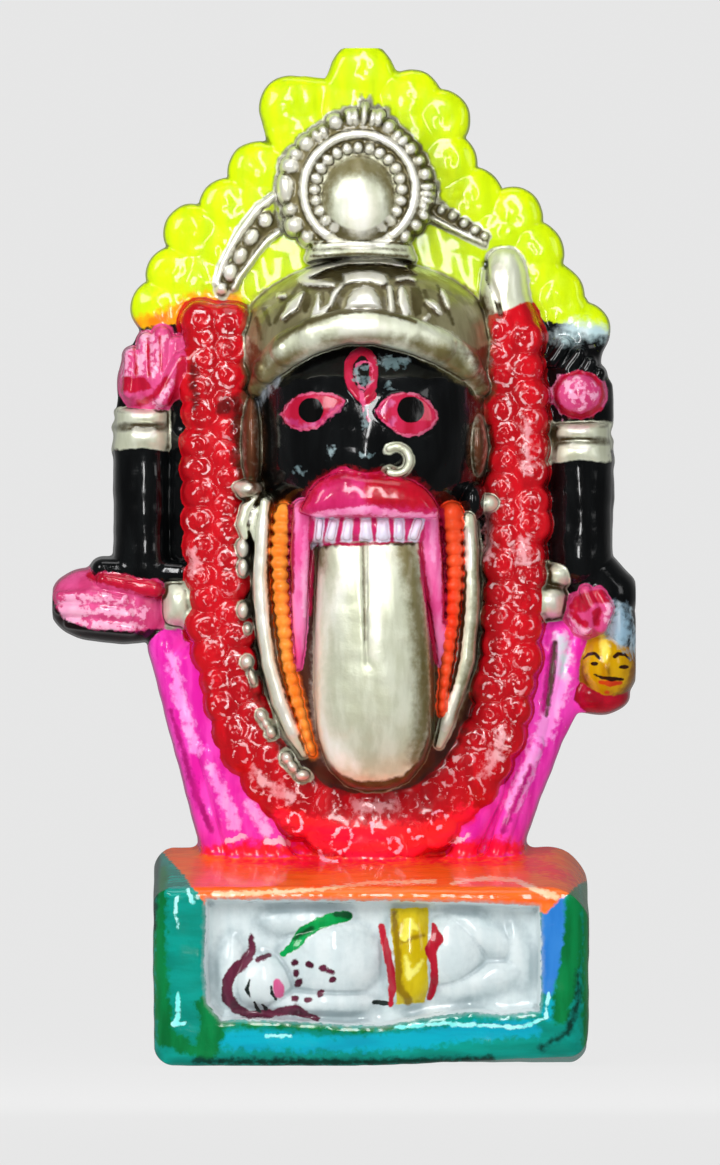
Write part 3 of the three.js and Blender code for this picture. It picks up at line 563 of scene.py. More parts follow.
def both(first, second, rounding):
    """Where two distances are both inside, with the edge between them rounded."""
    first = first + rounding
    second = second + rounding
    corner = np.hypot(np.maximum(first, 0), np.maximum(second, 0))
    return np.minimum(np.maximum(first, second), 0) + corner - rounding


def raised(shape, height, rounding, on, top):
    """A flat shape raised over a surface that is given by its distance."""

    def distance(px, pu, po):
        return both(shape.distance(px, pu), on(px, pu, po) - height, rounding)

    return Form(distance, shape.window, top + height)


def level(out):
    return lambda px, pu, po: po - out


def cropped(form, shape, rounding):
    """The part of a form that lies behind a flat shape."""

    def distance(px, pu, po):
        return both(form.distance(px, pu, po), shape.distance(px, pu), rounding)

    return Form(distance, form.window, form.top)


def ring_place(x, up, radius, degrees):
    turn = math.radians(degrees)
    return x + radius * math.cos(turn), up + radius * math.sin(turn)


def spans(count, gap):
    """Directions spread over a ring that is open by gap degrees at its foot."""
    return [-90 + gap / 2 + (360 - gap) * i / (count - 1) for i in range(count)]


def walk(places, pitch, start=0.5):
    """Places one pitch apart along a line, each with the direction in which the line runs there."""
    points = np.array(places, float)[:, :2]
    run = np.concatenate([[0], np.cumsum(np.hypot(*np.diff(points, axis=0).T))])
    count = int(run[-1] / pitch)
    stations = (np.arange(count) + start) * run[-1] / count
    reach = pitch / 2

    def at(distances):
        return np.stack([np.interp(distances, run, points[:, axis]) for axis in (0, 1)], axis=1)

    middle, before, after = at(stations), at(stations - reach), at(stations + reach)
    heading = after - before
    return [(*place, math.atan2(step[1], step[0])) for place, step in zip(middle, heading)]


def rosette(x, up, size, out, rise, turn, depth, phase):
    """A rose or flower: a dome with petals that wind round its middle."""
    body = dome(x, up, size, size, out, rise)

    def distance(px, pu, po):
        gap = np.hypot(px - x, pu - up)
        round_middle = np.arctan2(pu - up, px - x)
        wave = np.cos(2 * math.pi * gap / turn - round_middle + phase)
        petals = PETALS["least"] + (1 - PETALS["least"]) * np.cos(PETALS["count"] * round_middle + 2 * phase)
        fade = np.clip(PETALS["reach"] - gap / size, 0, 1)
        return body.distance(px, pu, po) - depth * (0.5 + 0.5 * wave * petals) * fade

    return Form(distance, body.window, body.top + depth)


def plinth():
    def distance(px, pu, po):
        share = po / PLINTH_DEPTH
        swell = BULGE * (1 - (2 * pu / PLINTH_HEIGHT + 1) ** 2)
        side = np.abs(px) - PLINTH_WIDTH / 2 + SIDE_DRAFT * share - swell
        lid = pu + TOP_FALL * share
        rise = FOOT_RISE * np.clip(px / PLINTH_WIDTH * 2, 0, 1) * np.clip(share, 0, 1)
        foot = rise - PLINTH_HEIGHT - pu
        front = po - PLINTH_DEPTH
        outline = both(side, lid, np.where(px > 0, RIGHT_CORNER_ROUND, CORNER_ROUND))
        outline = np.maximum(outline, both(side, foot, FOOT_ROUND))
        edges = both(np.maximum(lid, foot), front, EDGE_ROUND)
        return np.maximum(np.maximum(both(side, front, SIDE_ROUND), outline), edges)

    half = PLINTH_WIDTH / 2 + BULGE
    return [Form(distance, (-half, half, -PLINTH_HEIGHT, 0), PLINTH_DEPTH)]


def recess():
    outline = polygon(RECESS)
    floor = PLINTH_DEPTH - RECESS_DEPTH

    def distance(px, pu, po):
        walls = outline.distance(px, pu) + RECESS_LEAN * (PLINTH_DEPTH - po)
        return both(walls, floor - po, RECESS_ROUND)

    return [Form(distance, outline.window, PLINTH_DEPTH)]


def shiva():
    floor = PLINTH_DEPTH - RECESS_DEPTH
    return [dome(out=floor - SHIVA_SINK, **form) for form in SHIVA]


def halo_edge():
    """Places round the lobes of the halo's edge, and the middle of the flower inside each lobe."""
    places, flowers = [], []
    for (x, up, bulge), (next_x, next_up, _) in zip(HALO_EDGE, HALO_EDGE[1:]):
        run, climb = next_x - x, next_up - up
        length = math.hypot(run, climb)
        outwards = (-climb / length, run / length)
        places.append((x, up))
        for step in range(1, LOBE_STEPS):
            share = step / LOBE_STEPS
            swell = bulge * math.sin(math.pi * share) ** LOBE_SWELL
            places.append((x + run * share + outwards[0] * swell, up + climb * share + outwards[1] * swell))
        reach = bulge - HALO_FLOWER["inset"]
        flowers.append((x + run / 2 + outwards[0] * reach, up + climb / 2 + outwards[1] * reach))
    places.append(HALO_EDGE[-1][:2])
    return places, flowers


def backing():
    outline = polygon(LEFT_OUTLINE + halo_edge()[0] + RIGHT_OUTLINE)
    return [raised(outline, 0, SLAB_ROUND, level(SLAB_OUT), SLAB_OUT)]


def halo_flowers():
    size, out, rise = HALO_FLOWER["size"], HALO_FLOWER["out"], HALO_FLOWER["rise"]
    spots = halo_edge()[1] + HALO_INNER_FLOWERS
    return [
        rosette(x, up, size, out, rise, HALO_FLOWER["pitch"], HALO_FLOWER["depth"], HALO_FLOWER["phase"] * i)
        for i, (x, up) in enumerate(spots)
    ]


def facing(place, middle):
    """The turn that points a form's length away from a middle."""
    return math.atan2(place[1] - middle[1], place[0] - middle[0]) - math.pi / 2


def arch():
    height, rounding = ARCH_BED["height"], ARCH_BED["round"]
    forms = [raised(polygon(bed), height, rounding, level(SLAB_OUT), SLAB_OUT) for bed in ARCH_BEDS]
    for x, up, tall, wide in ARCH_BEADS:
        lean = facing((x, up), ARCH_MIDDLE) + math.pi / 2
        forms.append(dome(x, up, wide, tall, SLAB_OUT, ARCH_BEAD["rise"], lean, ARCH_BEAD["square"]))
    lines = [[(x, up, thick, ARCH_LIFT) for x, up, thick in places] for places in ARCH_LINES]
    return forms + tubes(lines, SLAB_OUT)


def disc():
    x, up, radius, front = DISC["x"], DISC["up"], DISC["radius"], DISC["front"]

    def plate(px, pu, po):
        outline = np.maximum(np.hypot(px - x, pu - up) - radius, up - DISC["foot"] - pu)
        return both(outline, po - front, DISC["round"])

    window = (x - radius, x + radius, up - DISC["foot"], up + radius)
    turns = spans(DISC_RING["count"], DISC_RING["open"])
    places = [ring_place(DISC_RING["x"], DISC_RING["up"], DISC_RING["radius"], turn) for turn in turns]
    ring = tube([(*place, DISC_RING["thick"], DISC_RING["lift"]) for place in places], front)
    return [Form(plate, window, front), *ring]


def disc_dome():
    middle = dome(out=DISC["front"] - DISC_DOME_SINK, **DISC_DOME)
    return [cropped(middle, polygon(DISC_DOME_AREA), DISC_DOME_ROUND)]


def inner_beads():
    """The middle and turn of each bead of the crest's inner ring."""
    places = []
    for turn in spans(DISC_INNER["count"], DISC_INNER["open"]):
        x, up = ring_place(DISC_INNER["x"], DISC_INNER["up"], DISC_INNER["ring"], turn)
        places.append((x, up, math.radians(turn - 90)))
    return places


def disc_beads():
    out = DISC["front"] - PEARL["sink"]
    forms = [
        dome(x, up, wide, tall, out, PEARL["rise"], facing((x, up), DISC_MIDDLE), PEARL["square"])
        for x, up, wide, tall in DISC_PEARLS
    ]
    size = DISC_INNER["size"]
    for x, up, turn in inner_beads():
        long = size * DISC_INNER["stretch"]
        forms.append(dome(x, up, size, long, DISC["front"], DISC_INNER["rise"], turn))
    return forms


def over_head(x, foot, top, wide, thick, out, rise, count):
    """Places on an arch over the forehead, lifted most in the middle."""
    places = []
    for i in range(count):
        turn = math.pi * (1 - i / (count - 1))
        height = math.sin(turn)
        lift = rise * height**NECK_SWELL
        places.append((x + wide * math.cos(turn), foot + (top - foot) * height, thick, lift))
    return places


def crown_neck():
    forms = []
    for sizes in CROWN_NECKS:
        forms += tube(over_head(**sizes), sizes["out"])
    return forms


def crown():
    return [cropped(dome(**CROWN), polygon(CROWN_AREA), CROWN_ROUND)]


def crown_shapes():
    return [line(places) for places in CROWN_LEAVES] + [polygon(CROWN_BLOCK)]


def crown_leaves():
    on = dome(**CROWN).distance
    top = CROWN["out"] + CROWN["rise"]
    leaves = [raised(shape, LEAF_HEIGHT, LEAF_ROUND, on, top) for shape in crown_shapes()]
    return leaves + [raised(polygon(CROWN_HALF_DOME), HALF_DOME_HEIGHT, HALF_DOME_HEIGHT, on, top)]


def eyes():
    on = dome(**FACE).distance
    top = FACE["out"] + FACE["rise"]
    shapes = [polygon(LEFT_EYE), polygon(RIGHT_EYE), rim(polygon(THIRD_EYE), THIRD_EYE_WIDE)]
    return [raised(shape, EYE_HEIGHT, EYE_ROUND, on, top) for shape in shapes]


def nose():
    return tube(NOSE, NOSE_OUT) + [dome(**NOSE_TIP)] + [dome(**form) for form in NOSTRILS]


def nose_ring():
    count, start, stop = NOSE_RING["count"], NOSE_RING["start"], NOSE_RING["stop"]
    turns = [start + (stop - start) * i / (count - 1) for i in range(count)]
    places = [ring_place(NOSE_RING["x"], NOSE_RING["up"], NOSE_RING["radius"], turn) for turn in turns]
    return tube([(*place, NOSE_RING["thick"], 0) for place in places], NOSE_RING["out"])


def lips():
    return [raised(polygon(LIP), 0, LIP_ROUND, level(LIP_TOP), LIP_TOP), dome(**GUM)]


def garland_base(melts):
    """The garland's strand: the part whose foot melts into the plinth, or the rest of it."""
    places = [(x, up, GARLAND_BASE["thick"], 0) for x, up in GARLAND]
    pieces = tube(places, GARLAND_BASE["out"])
    return [piece for piece in pieces if (piece.window[2] < GARLAND_BASE["melts_below"]) == melts]


def rose_places():
    """The middle, size and turn of every rose of the garland, in two rows."""
    chance = np.random.default_rng(ROSE["seed"])
    places = [(x, up, ROSE["size"], turn) for x, up, turn in TOP_ROSES]
    for side, start in ((-1, 0.25), (1, 0.75)):
        for x, up, heading in walk(GARLAND, ROSE["pitch"], start):
            aside = side * ROSE["aside"] * chance.uniform(*ROSE["aside_spread"])
            size = ROSE["size"] * chance.uniform(*ROSE["size_spread"])
            ahead = chance.uniform(-ROSE["stray"], ROSE["stray"])
            place = (
                x - aside * math.sin(heading) + ahead * math.cos(heading),
                up + aside * math.cos(heading) + ahead * math.sin(heading))
            places.append((*place, size, chance.uniform(0, 2 * math.pi)))
    return places


def roses():
    low, high, least = ROSE_FADE
    base, per_turn = ROSE["rise_spread"]
    forms = []
    for x, up, size, turn in rose_places():
        share = min(max((up - low) / (high - low), least), 1)
        rise = share * ROSE["rise"] * (base + per_turn * turn)
        forms.append(rosette(x, up, size, ROSE["out"], rise, ROSE["turn"], share * ROSE["depth"], turn))
    return forms


def beads():
    forms = [dome(**ROUND_BEAD)]
    for places in BEADS:
        sizes = np.linspace(BEAD["size"], BEAD["least"], len(places)) * BEAD["strand"]
        forms += tube([(x, up, size, 0) for (x, up), size in zip(places, sizes)], BEAD["out"])
        spots = walk(places, BEAD["pitch"])
        for size, (x, up, heading) in zip(np.linspace(BEAD["size"], BEAD["least"], len(spots)), spots):
            wide, tall = size * BEAD["wide"], BEAD["pitch"] * BEAD["tall"]
            forms.append(dome(x, up, wide, tall, BEAD["out"], BEAD["rise"], heading - math.pi / 2))
    return forms


def dashes():
    return [dome(x, up, wide, tall, tilt=lean, **DASH) for x, up, wide, tall, lean in DASHES]


def domes(*sizes):
    return [dome(**size) for size in sizes]


def limbs(*sizes):
    return [limb(**size) for size in sizes]


def tubes(strands, out):
    return [piece for places in strands for piece in tube(places, out)]


def layers():
    """The casting's forms, each group with its paint and how softly it runs into what is under it."""
    return [
        ("halo", 0.5, backing()),
        ("halo", 2.4, halo_flowers()),
        ("plinth", 1.0, plinth()),
        ("cloth", 3.0, limbs(*CLOTH_FOLDS)),
        ("chest", 1.0, domes(CHEST)),
        ("black", 1.5, limbs(LEFT_FOREARM, RIGHT_FOREARM, RIGHT_ELBOW) + domes(*RIGHT_BACKS, HAIR)),
        ("black", 1.0, limbs(LEFT_UPPER, LEFT_ELBOW, *RIGHT_FINGERS)),
        ("skin", 1.2, domes(LEFT_PALM, RIGHT_PALM, LOW_PALM, FIST)),
        ("skin", 0.7, limbs(*LEFT_FINGERS, LOW_THUMB, LEFT_THUMB)),
        ("skin", 0.8, tubes(LOW_FINGERS, LOW_FINGER_OUT) + tubes(FIST_FINGERS, FIST_FINGER_OUT)),
        ("head", 0.8, domes(HEAD)),
        ("head", 0.6, domes(HEAD_NOSE)),
        ("neck", 0.8, domes(NECK)),
        ("gold", 0.5, domes(LEFT_BANGLES[0], RIGHT_BANGLES[0], LOW_BANGLE, FIST_BANGLES[0], SWORD)),
        ("gold", 1.8, domes(LEFT_BANGLES[1], RIGHT_BANGLES[1], FIST_BANGLES[1])),
        ("gold", 0.3, arch()),
        ("garland", 2.6, garland_base(melts=False) + limbs(GARLAND_TOP)),
        ("garland", 5.0, garland_base(melts=True)),
        ("garland", 2.0, roses()),
        ("gold", 0.6, disc()),
        ("gold", 2.0, disc_dome()),
        ("gold", 0.25, disc_beads()),
        ("gold", 0.8, crown()),
        ("gold", 0.3, crown_leaves()),
        ("gold", 0.4, crown_neck()),
        ("gold", 0.4, tube(BROW_BAND, BROW_OUT)),
        ("black", 0.6, domes(FACE, TEMPLE_KNOT)),
        ("black", 4.0, nose()),
        ("black", 0.4, eyes()),
        ("gold", 0.5, domes(*EARS, *KNOBS) + tubes(EAR_LEAVES, LEAF_OUT)),
        ("gold", 0.2, nose_ring()),
        ("gold", 0.4, tubes(CORDS, CORD_OUT) + dashes()),
        ("beads", 0.4, beads()),
        ("pink", 0.5, tubes(CHEEK_STRANDS, TONGUE["out"])),
        ("gold", 0.4, [cropped(dome(**TONGUE), polygon(TONGUE_AREA), TONGUE_ROUND)]),
        ("lips", 0.5, lips()),
        ("teeth", 0.3, [dome(x=x, wide=wide, tilt=tilt, **TOOTH) for x, wide, tilt in TEETH]),
    ]


def grooves():
    """Cuts in the casting, each with how softly its edge is rounded."""
    return [
        (1.6, recess()),
        (1.2, [carved(line(TONGUE_GROOVE), GROOVE_DEPTH, dome(**TONGUE).distance)]),
        (0.8, [carved(polygon(CROWN_CRESCENT), CRESCENT_DEPTH, dome(**CROWN).distance)]),
        (0.6, [carved(line(SWORD_GROOVE), GROOVE_DEPTH, dome(**SWORD).distance)]),
        (0.8, [carved(line(CLOTH_SLIT), SLIT_DEPTH, level(SLIT_OUT))]),
    ]


def carved(shape, depth, surface):
    """A groove along a stroke, cut into a surface."""

    def distance(px, pu, po):
        return both(shape.distance(px, pu), -depth - surface(px, pu, po), GROOVE_ROUND)

    return Form(distance, shape.window, PLINTH_DEPTH)


def smooth_least(first, second, blend):
    overlap = np.maximum(blend - np.abs(first - second), 0)
    return np.minimum(first, second) - overlap**2 / (4 * blend)


class Field:
    """The casting's distances on a grid of x, out and up."""

    def __init__(self, low, high, step):
        self.low = np.array(low, float)
        self.step = step
        counts = [int(math.ceil((b - a) / step)) + 1 for a, b in zip(low, high)]
        self.axes = [(a + step * np.arange(n)).astype(np.float32) for a, n in zip(low, counts)]
        self.values = np.full(counts, FAR, np.float32)

    def slices(self, form):
        x0, x1, up0, up1 = form.window
        margin = BORDER + DRAFT * form.top
        spans = [(x0 - margin, x1 + margin), (self.low[1], form.top + BORDER), (up0 - margin, up1 + margin)]
        return tuple(slice(*np.searchsorted(axis, span)) for axis, span in zip(self.axes, spans))

    def distances(self, form, window):
        x, out, up = (axis[part] for axis, part in zip(self.axes, window))
        return form.distance(x[:, None, None], up[None, None, :], out[None, :, None])

    def nearest(self, forms):
        """The window that holds all forms, and the distance to the nearest of them there."""
        windows = [self.slices(form) for form in forms]
        whole = tuple(
            slice(min(w[i].start for w in windows), max(w[i].stop for w in windows)) for i in range(3))
        least = np.full([part.stop - part.start for part in whole], FAR, np.float32)
        for form, window in zip(forms, windows):
            inner = tuple(slice(w.start - o.start, w.stop - o.start) for w, o in zip(window, whole))
            least[inner] = np.minimum(least[inner], self.distances(form, window))
        return whole, least

    def add(self, forms, blend):
        window, least = self.nearest(forms)
        self.values[window] = smooth_least(self.values[window], least, blend)

    def cut(self, forms, blend):
        window, least = self.nearest(forms)
        self.values[window] = -smooth_least(-self.values[window], least, blend)

    def sample(self, points):
        """Distances at points, by straight lines between the grid's own."""
        spots = (points - self.low) / self.step
        corner = np.clip(np.floor(spots).astype(int), 0, np.array(self.values.shape) - 2)
        share = np.clip(spots - corner, 0, 1)
        total = np.zeros(len(points))
        for side in np.ndindex(2, 2, 2):
            x, out, up = np.abs(1 - np.array(side) - share).T
            total += x * out * up * self.values[tuple((corner + side).T)]
        return total

    def normals(self, points):
        reach = self.step
        slopes = []
        for axis in range(3):
            offset = np.zeros(3)
            offset[axis] = reach
            slopes.append(self.sample(points + offset) - self.sample(points - offset))
        slopes = np.stack(slopes, axis=1)
        return slopes / np.maximum(np.linalg.norm(slopes, axis=1, keepdims=True), TINY)

    def polygons(self):
        grid = openvdb.FloatGrid(BORDER)
        grid.copyFromArray(np.clip(self.values, -BORDER, BORDER))
        points, triangles, quads = grid.convertToPolygons(0.0, 0.0)
        return self.low + np.array(points) * self.step, np.array(triangles), np.array(quads)


def uneven(field):
    """Slow swells of a hand-finished casting, as slight changes of distance."""
    x, _, up = np.ix_(*field.axes)
    swell = 0
    for long, turn, size in SWELLS:
        across = (x * math.cos(turn) + up * math.sin(turn)) * 2 * math.pi / long
        along = (up * math.cos(turn) - x * math.sin(turn)) * SWELL_ALONG * math.pi / long
        swell = swell + size * np.sin(across) * np.cos(along)
    return swell


def casting_field(groups):
    low = (LOW.x / SQUARE - BORDER, -BORDER, -PLINTH_HEIGHT - BORDER)
    high = (HIGH.x / SQUARE + BORDER, PLINTH_DEPTH + BORDER, TALL - PLINTH_HEIGHT + BORDER)
    field = Field(low, high, STEP)
    for _, blend, forms in groups:
        field.add(forms, blend)
    for blend, forms in grooves():
        field.cut(forms, blend)
    field.add(shiva(), SHIVA_BLEND)
    field.values += uneven(field)
    field.values = both(field.values, -field.axes[1][None, :, None], BACK_ROUND)
    field.values = np.maximum(field.values, -PLINTH_HEIGHT - field.axes[2][None, None, :])
    return field


def to_frame(points):
    """Places on the grid, x, out and up, as metres in the row frame."""
    x = points[:, 0] * SQUARE
    y = HIGH.y - points[:, 1] * SQUARE
    z = LOW.z + (PLINTH_HEIGHT + points[:, 2]) * SQUARE
    return np.stack([x, y, z], axis=1)


def to_grid(places):
    x = places[:, 0] / SQUARE
    out = (HIGH.y - places[:, 1]) / SQUARE
    up = (places[:, 2] - LOW.z) / SQUARE - PLINTH_HEIGHT
    return np.stack([x, out, up], axis=1)


def point_places(mesh):
    places = np.zeros(len(mesh.vertices) * 3, np.float32)
    mesh.vertices.foreach_get("co", places)
    return places.reshape(-1, 3).astype(float)


def casting_mesh(field):
    """The casting's places and triangles, thinned out most where it is plain and at its flat back."""
    points, triangles, quads = field.polygons()
    mesh = bpy.data.meshes.new("casting")
    mesh.from_pydata(to_frame(points), [], triangles.tolist() + quads.tolist())
    rough = bpy.data.objects.new("casting", mesh)
    bpy.context.scene.collection.objects.link(rough)
    group = rough.vertex_groups.new(name="flat_back")
    back = np.flatnonzero(points[:, 1] < BACK_LAYER)
    group.add(back.tolist(), 1.0, "REPLACE")
    fewer = rough.modifiers.new("fewer", "DECIMATE")
    fewer.ratio = min(1, TRIANGLES / (len(triangles) + 2 * len(quads)))
    fewer.use_collapse_triangulate = True
    fewer.vertex_group = group.name
    fewer.vertex_group_factor = 1.0
    reduced = bpy.data.meshes.new_from_object(rough.evaluated_get(bpy.context.evaluated_depsgraph_get()))
    bpy.data.objects.remove(rough)
    reduced.calc_loop_triangles()
    corners = np.zeros(len(reduced.loop_triangles) * 3, np.int32)
    reduced.loop_triangles.foreach_get("vertices", corners)
    places = np.clip(point_places(reduced), np.array(LOW), np.array(HIGH))
    return places, corners.reshape(-1, 3)


def facing_out(places, corners, outward):
    """The triangles, turned over if the mesh was made inside out."""
    first, second, third = (places[corners[:, i]] for i in range(3))
    normals = np.cross(second - first, third - first)
    agreement = (normals * outward[corners[:, 0]]).sum()
    return corners if agreement > 0 else corners[:, ::-1]


def nearest_of(forms, places):
    """Distance from each point of the mesh to the nearest of some forms."""
    x, out, up = places.T.astype(np.float32)
    least = np.full(len(x), FAR, np.float32)
    for form in forms:
        x0, x1, up0, up1 = form.window
        near = (x > x0 - BORDER) & (x < x1 + BORDER) & (up > up0 - BORDER) & (up < up1 + BORDER)
        if near.any():
            least[near] = np.minimum(least[near], form.distance(x[near], up[near], out[near]))
    return least


def ownership(groups, places):
    """How far inside each paint's own forms a point is, by how much nearer they are than the rest."""
    names = sorted({name for name, _, _ in groups})
    distances = {}
    for paint in names:
        forms = [form for name, _, members in groups if name == paint for form in members]
        distances[paint] = nearest_of(forms, places)
    ordered = np.sort(np.stack(list(distances.values())), axis=0)
    margins = {}
    for paint in names:
        own = distances[paint]
        margins[paint] = np.where(own <= ordered[0], ordered[1], ordered[0]) - own
    return margins


def cavity(field, places, normals, reach):
    """How much of the room in front of each point is taken by the relief round it, which decides where shade
    is painted in the hollows.
    """
    return 1 - np.clip(field.sample(places + normals * reach) / reach, -1, 1)


def area(*places):
    return polygon(places)


def strokes(*strands):
    return [line(places) for places in strands]


# Ground colours behind the forms, and shapes painted over them: the figure's own hand-painted marks, and
# painted shade and highlights.
ARM_GROUNDS = [
    area((-70, 128.5), (-58, 130), (-52, 130), (-46, 131), (-43, 134), (-43, 60), (-70, 60)),
    area((41, 132), (52, 130), (62, 127.5), (70, 127), (70, 60), (41, 60)),
    area((-43, 94), (43, 94), (43, 60), (-43, 60)),
]
CLOTH_GROUND = [area((-70, 64), (70, 64), (70, -14), (-70, -14))]
ORANGE_TOP = [
    area(
        (-70, 12), (-62.8, 6.8), (-52, -1.5), (-46.5, -7), (-42, -12.6), (-41, -14.2), (-10.3, -14.8),
        (7.3, -14.6), (24.8, -15), (40, -15.8), (43.4, -16), (45.3, -14), (48.5, -11.5), (51.5, -9.3),
        (62.3, -5.8), (70, 12)),
]
RED_TOP = [
    area(
        (-39, 4), (-36, -4), (-16, -5.5), (10, -4), (28, -4.5), (40, -3), (45, -2), (48, 3), (30, 12),
        (-30, 12)),
    line([(40, -4, 2), (46, -6, 1.6), (50, -8, 0.8)]),
]
# Pale painted highlights along the front edge of the plinth's top.
TOP_EDGE_HIGHLIGHTS = strokes(
    [(-39, -11.4, 0.7), (-28, -11, 0.5), (-14, -10.2, 0.4), (0, -8.6, 0.4), (16, -8.2, 0.4)],
    [(20, -8.6, 0.4), (28, -7.6, 0.5), (36, -8, 0.5), (42, -10.6, 0.8), (46, -12, 0.9)],
)
GREEN_RIM = strokes(
    [(-52, -6, 1.2), (-52.6, -20, 1.6), (-52.2, -36, 1.8), (-51, -47, 2.2), (-44, -50, 1.6)],
    [(-41.5, -39, 2), (-39, -44, 3.2), (-41, -50, 3)],
    [(50.6, -11, 1.6), (50, -20, 3), (48.6, -32, 3), (47, -42, 1.8)],
    [(53.8, -6, 1.4), (54, -28, 1.6), (53.6, -48, 1.2)],
    [(-38, -43.6, 0.6), (-20, -44, 0.8), (-4, -45.4, 0.7), (10, -44, 0.6)],
)
CYAN_RIM = strokes(
    [
        (-38, -47.5, 2), (-26, -47.4, 2.6), (-10, -48.6, 2), (8, -47.6, 2.2), (24, -45.4, 2.4),
        (40, -44.6, 2.2)],
    [(44, -41, 2), (46, -36, 1.2), (47, -30, 0.5)],
)
BLUE_RIM = strokes([(45.4, -13, 2.6), (45, -20, 3), (44.4, -28, 2.6), (43.8, -35, 1.4)])
DARK_RIM = strokes(
    [(-53.4, -2, 0.8), (-53.8, -12, 0.8), (-53.8, -20, 0.4)],
    [(51.4, -30, 0.2), (51.4, -38, 0.6), (48.6, -46, 0.9), (42, -49.6, 0.5)],
    [(-44, -52.8, 0.8), (-20, -53, 0.9), (4, -53, 0.9), (30, -52.4, 0.8)],
)
# Pale painted highlights down the plinth's rounded left edge and along its foot.
RIM_HIGHLIGHTS = strokes(
    [(-48.2, -12, 0.5), (-48.6, -16, 0.5), (-47.8, -20, 0.3)], [(-45.5, -10.4, 0.5), (-44.2, -13.4, 0.6)],
    [(-48, -36, 0.4), (-48, -42, 0.5), (-49, -43.6, 0.7), (-46.4, -43.4, 0.5)],
    [(-26, -46.4, 0.4), (-20, -46.6, 0.5)],
    [(6, -44.4, 0.4), (18, -43.4, 0.5), (38, -44.4, 0.5), (43.4, -42, 0.5), (44, -36, 0.3)],
)
HAIR_STROKES = strokes(
    [
        (-29.8, -21.5, 0.5), (-29.6, -25.3, 1), (-31.5, -28.3, 1.5), (-34.5, -30.8, 1.4),
        (-35.8, -33.8, 1.4), (-35.6, -37.3, 1.5), (-33.2, -40, 1.3), (-30.3, -41.3, 1), (-24.8, -41, 1)],
    [(-28, -27.5, 0.8), (-25.4, -26.6, 0.6)],
    [(-24.8, -41, 0.9), (-21.6, -40.4, 1.1), (-18.8, -40.2, 1.4), (-13.2, -42.4, 0.5)],
)
NECKLACE_DOTS = [
    oval(x, up, 1.1, 0.8, tilt) for x, up, tilt in (
        (-19, -28.4, 0.3), (-15.3, -28.8, -0.3), (-12, -29.8, -0.4), (-10, -30.6, -0.6), (-9.6, -32.6, 0.5),
        (-12.6, -36, 0.5), (-15.6, -37.6, 0.2), (-19, -37.4, 0.2), (-18, -33.4, 1), (-18.6, -31, 1.4))
]
SHIVA_FACE = strokes(
    [(-30.2, -32.6, 0.3), (-30.8, -35, 0.5), (-30, -37, 0.3)],
    [(-29, -38.2, 0.3), (-28.2, -40, 0.5), (-27.6, -40.6, 0.3)], [(-27, -38.8, 0.3), (-26.2, -39.8, 0.5)],
    [(-24.8, -34.2, 0.3), (-24.6, -36, 0.5), (-23.6, -37.4, 0.3)],
    [(0.8, -38.2, 0.6), (3, -38.4, 0.6), (5, -38.6, 0.5)],
)
SHIVA_MOUTH = [oval(-23, -34.8, 1.4, 2.4, 0.15)]
SNAKE = strokes([
    (-22, -26.3, 0.7), (-18.8, -23.8, 1.3), (-16.8, -20.8, 1.6), (-13.3, -18.8, 1.5), (-9, -17.3, 1.5),
    (-6, -16.8, 1.3),
])
SNAKE_DARK = strokes([(-19, -22.4, 0.4), (-14.8, -19.8, 0.6)], [(-9, -16.4, 0.5), (-5.6, -16.6, 0.9)])
WRAP = [
    area(
        (4.8, -15), (14.3, -14.5), (14.3, -18.3), (14, -28.3), (14.3, -34.5), (13.3, -38.3), (6.3, -38.8),
        (6, -28.3), (5, -20.8)),
]
WRAP_SHADE = strokes(
    [(5.6, -16, 0.8), (6.6, -24, 0.8), (6.8, -34, 1), (9.4, -38, 1)],
    [(6.4, -24, 0.4), (9, -22.6, 0.5), (13, -21.6, 0.5)],
)
# Painted highlights on Shiva's loincloth.
WRAP_HIGHLIGHTS = strokes(
    [(8.4, -22, 1), (9.4, -18.4, 1.2), (11.4, -20, 0.5)],
    [(8.6, -27, 0.5), (9.6, -31.8, 0.9), (12.6, -28, 0.4)],
)
WRAP_BORDER = strokes(
    [(2.6, -19.4, 0.8), (3.6, -24.5, 1), (4.8, -29.5, 1), (5.3, -34.5, 1), (4.8, -39, 0.5)],
    [
        (15.4, -18.8, 0.5), (16.4, -22.4, 1.6), (14.8, -25, 1.5), (15.6, -28.5, 0.9), (15.8, -33.3, 1),
        (14.6, -37, 0.8)],
)

EYE_RED = [polygon(LEFT_EYE), polygon(RIGHT_EYE)]
EYE_PINK = strokes(
    [(-21, 106.4, 0.5), (-17, 104.8, 0.6), (-12, 106, 0.5), (-8, 110, 0.7)],
    [(2.4, 108.6, 1.2), (5, 111, 0.7)], [(6, 106.6, 0.8), (5, 105.4, 0.7)],
)
EYE_RIM = [rim(polygon(LEFT_EYE), 0.5), rim(polygon(RIGHT_EYE), 0.5)]
BROW_MARK = [rim(polygon(THIRD_EYE), 2.2), line([(-1.2, 110.8, 0.8), (0.2, 112.6, 1.2)])]
BROW_MARK_PALE = [
    rim(polygon(THIRD_EYE_HOLE), 0.6), line([(-2.4, 113.4, 0.5), (-1.4, 108.8, 0.7), (-0.6, 106.4, 0.3)]),
]
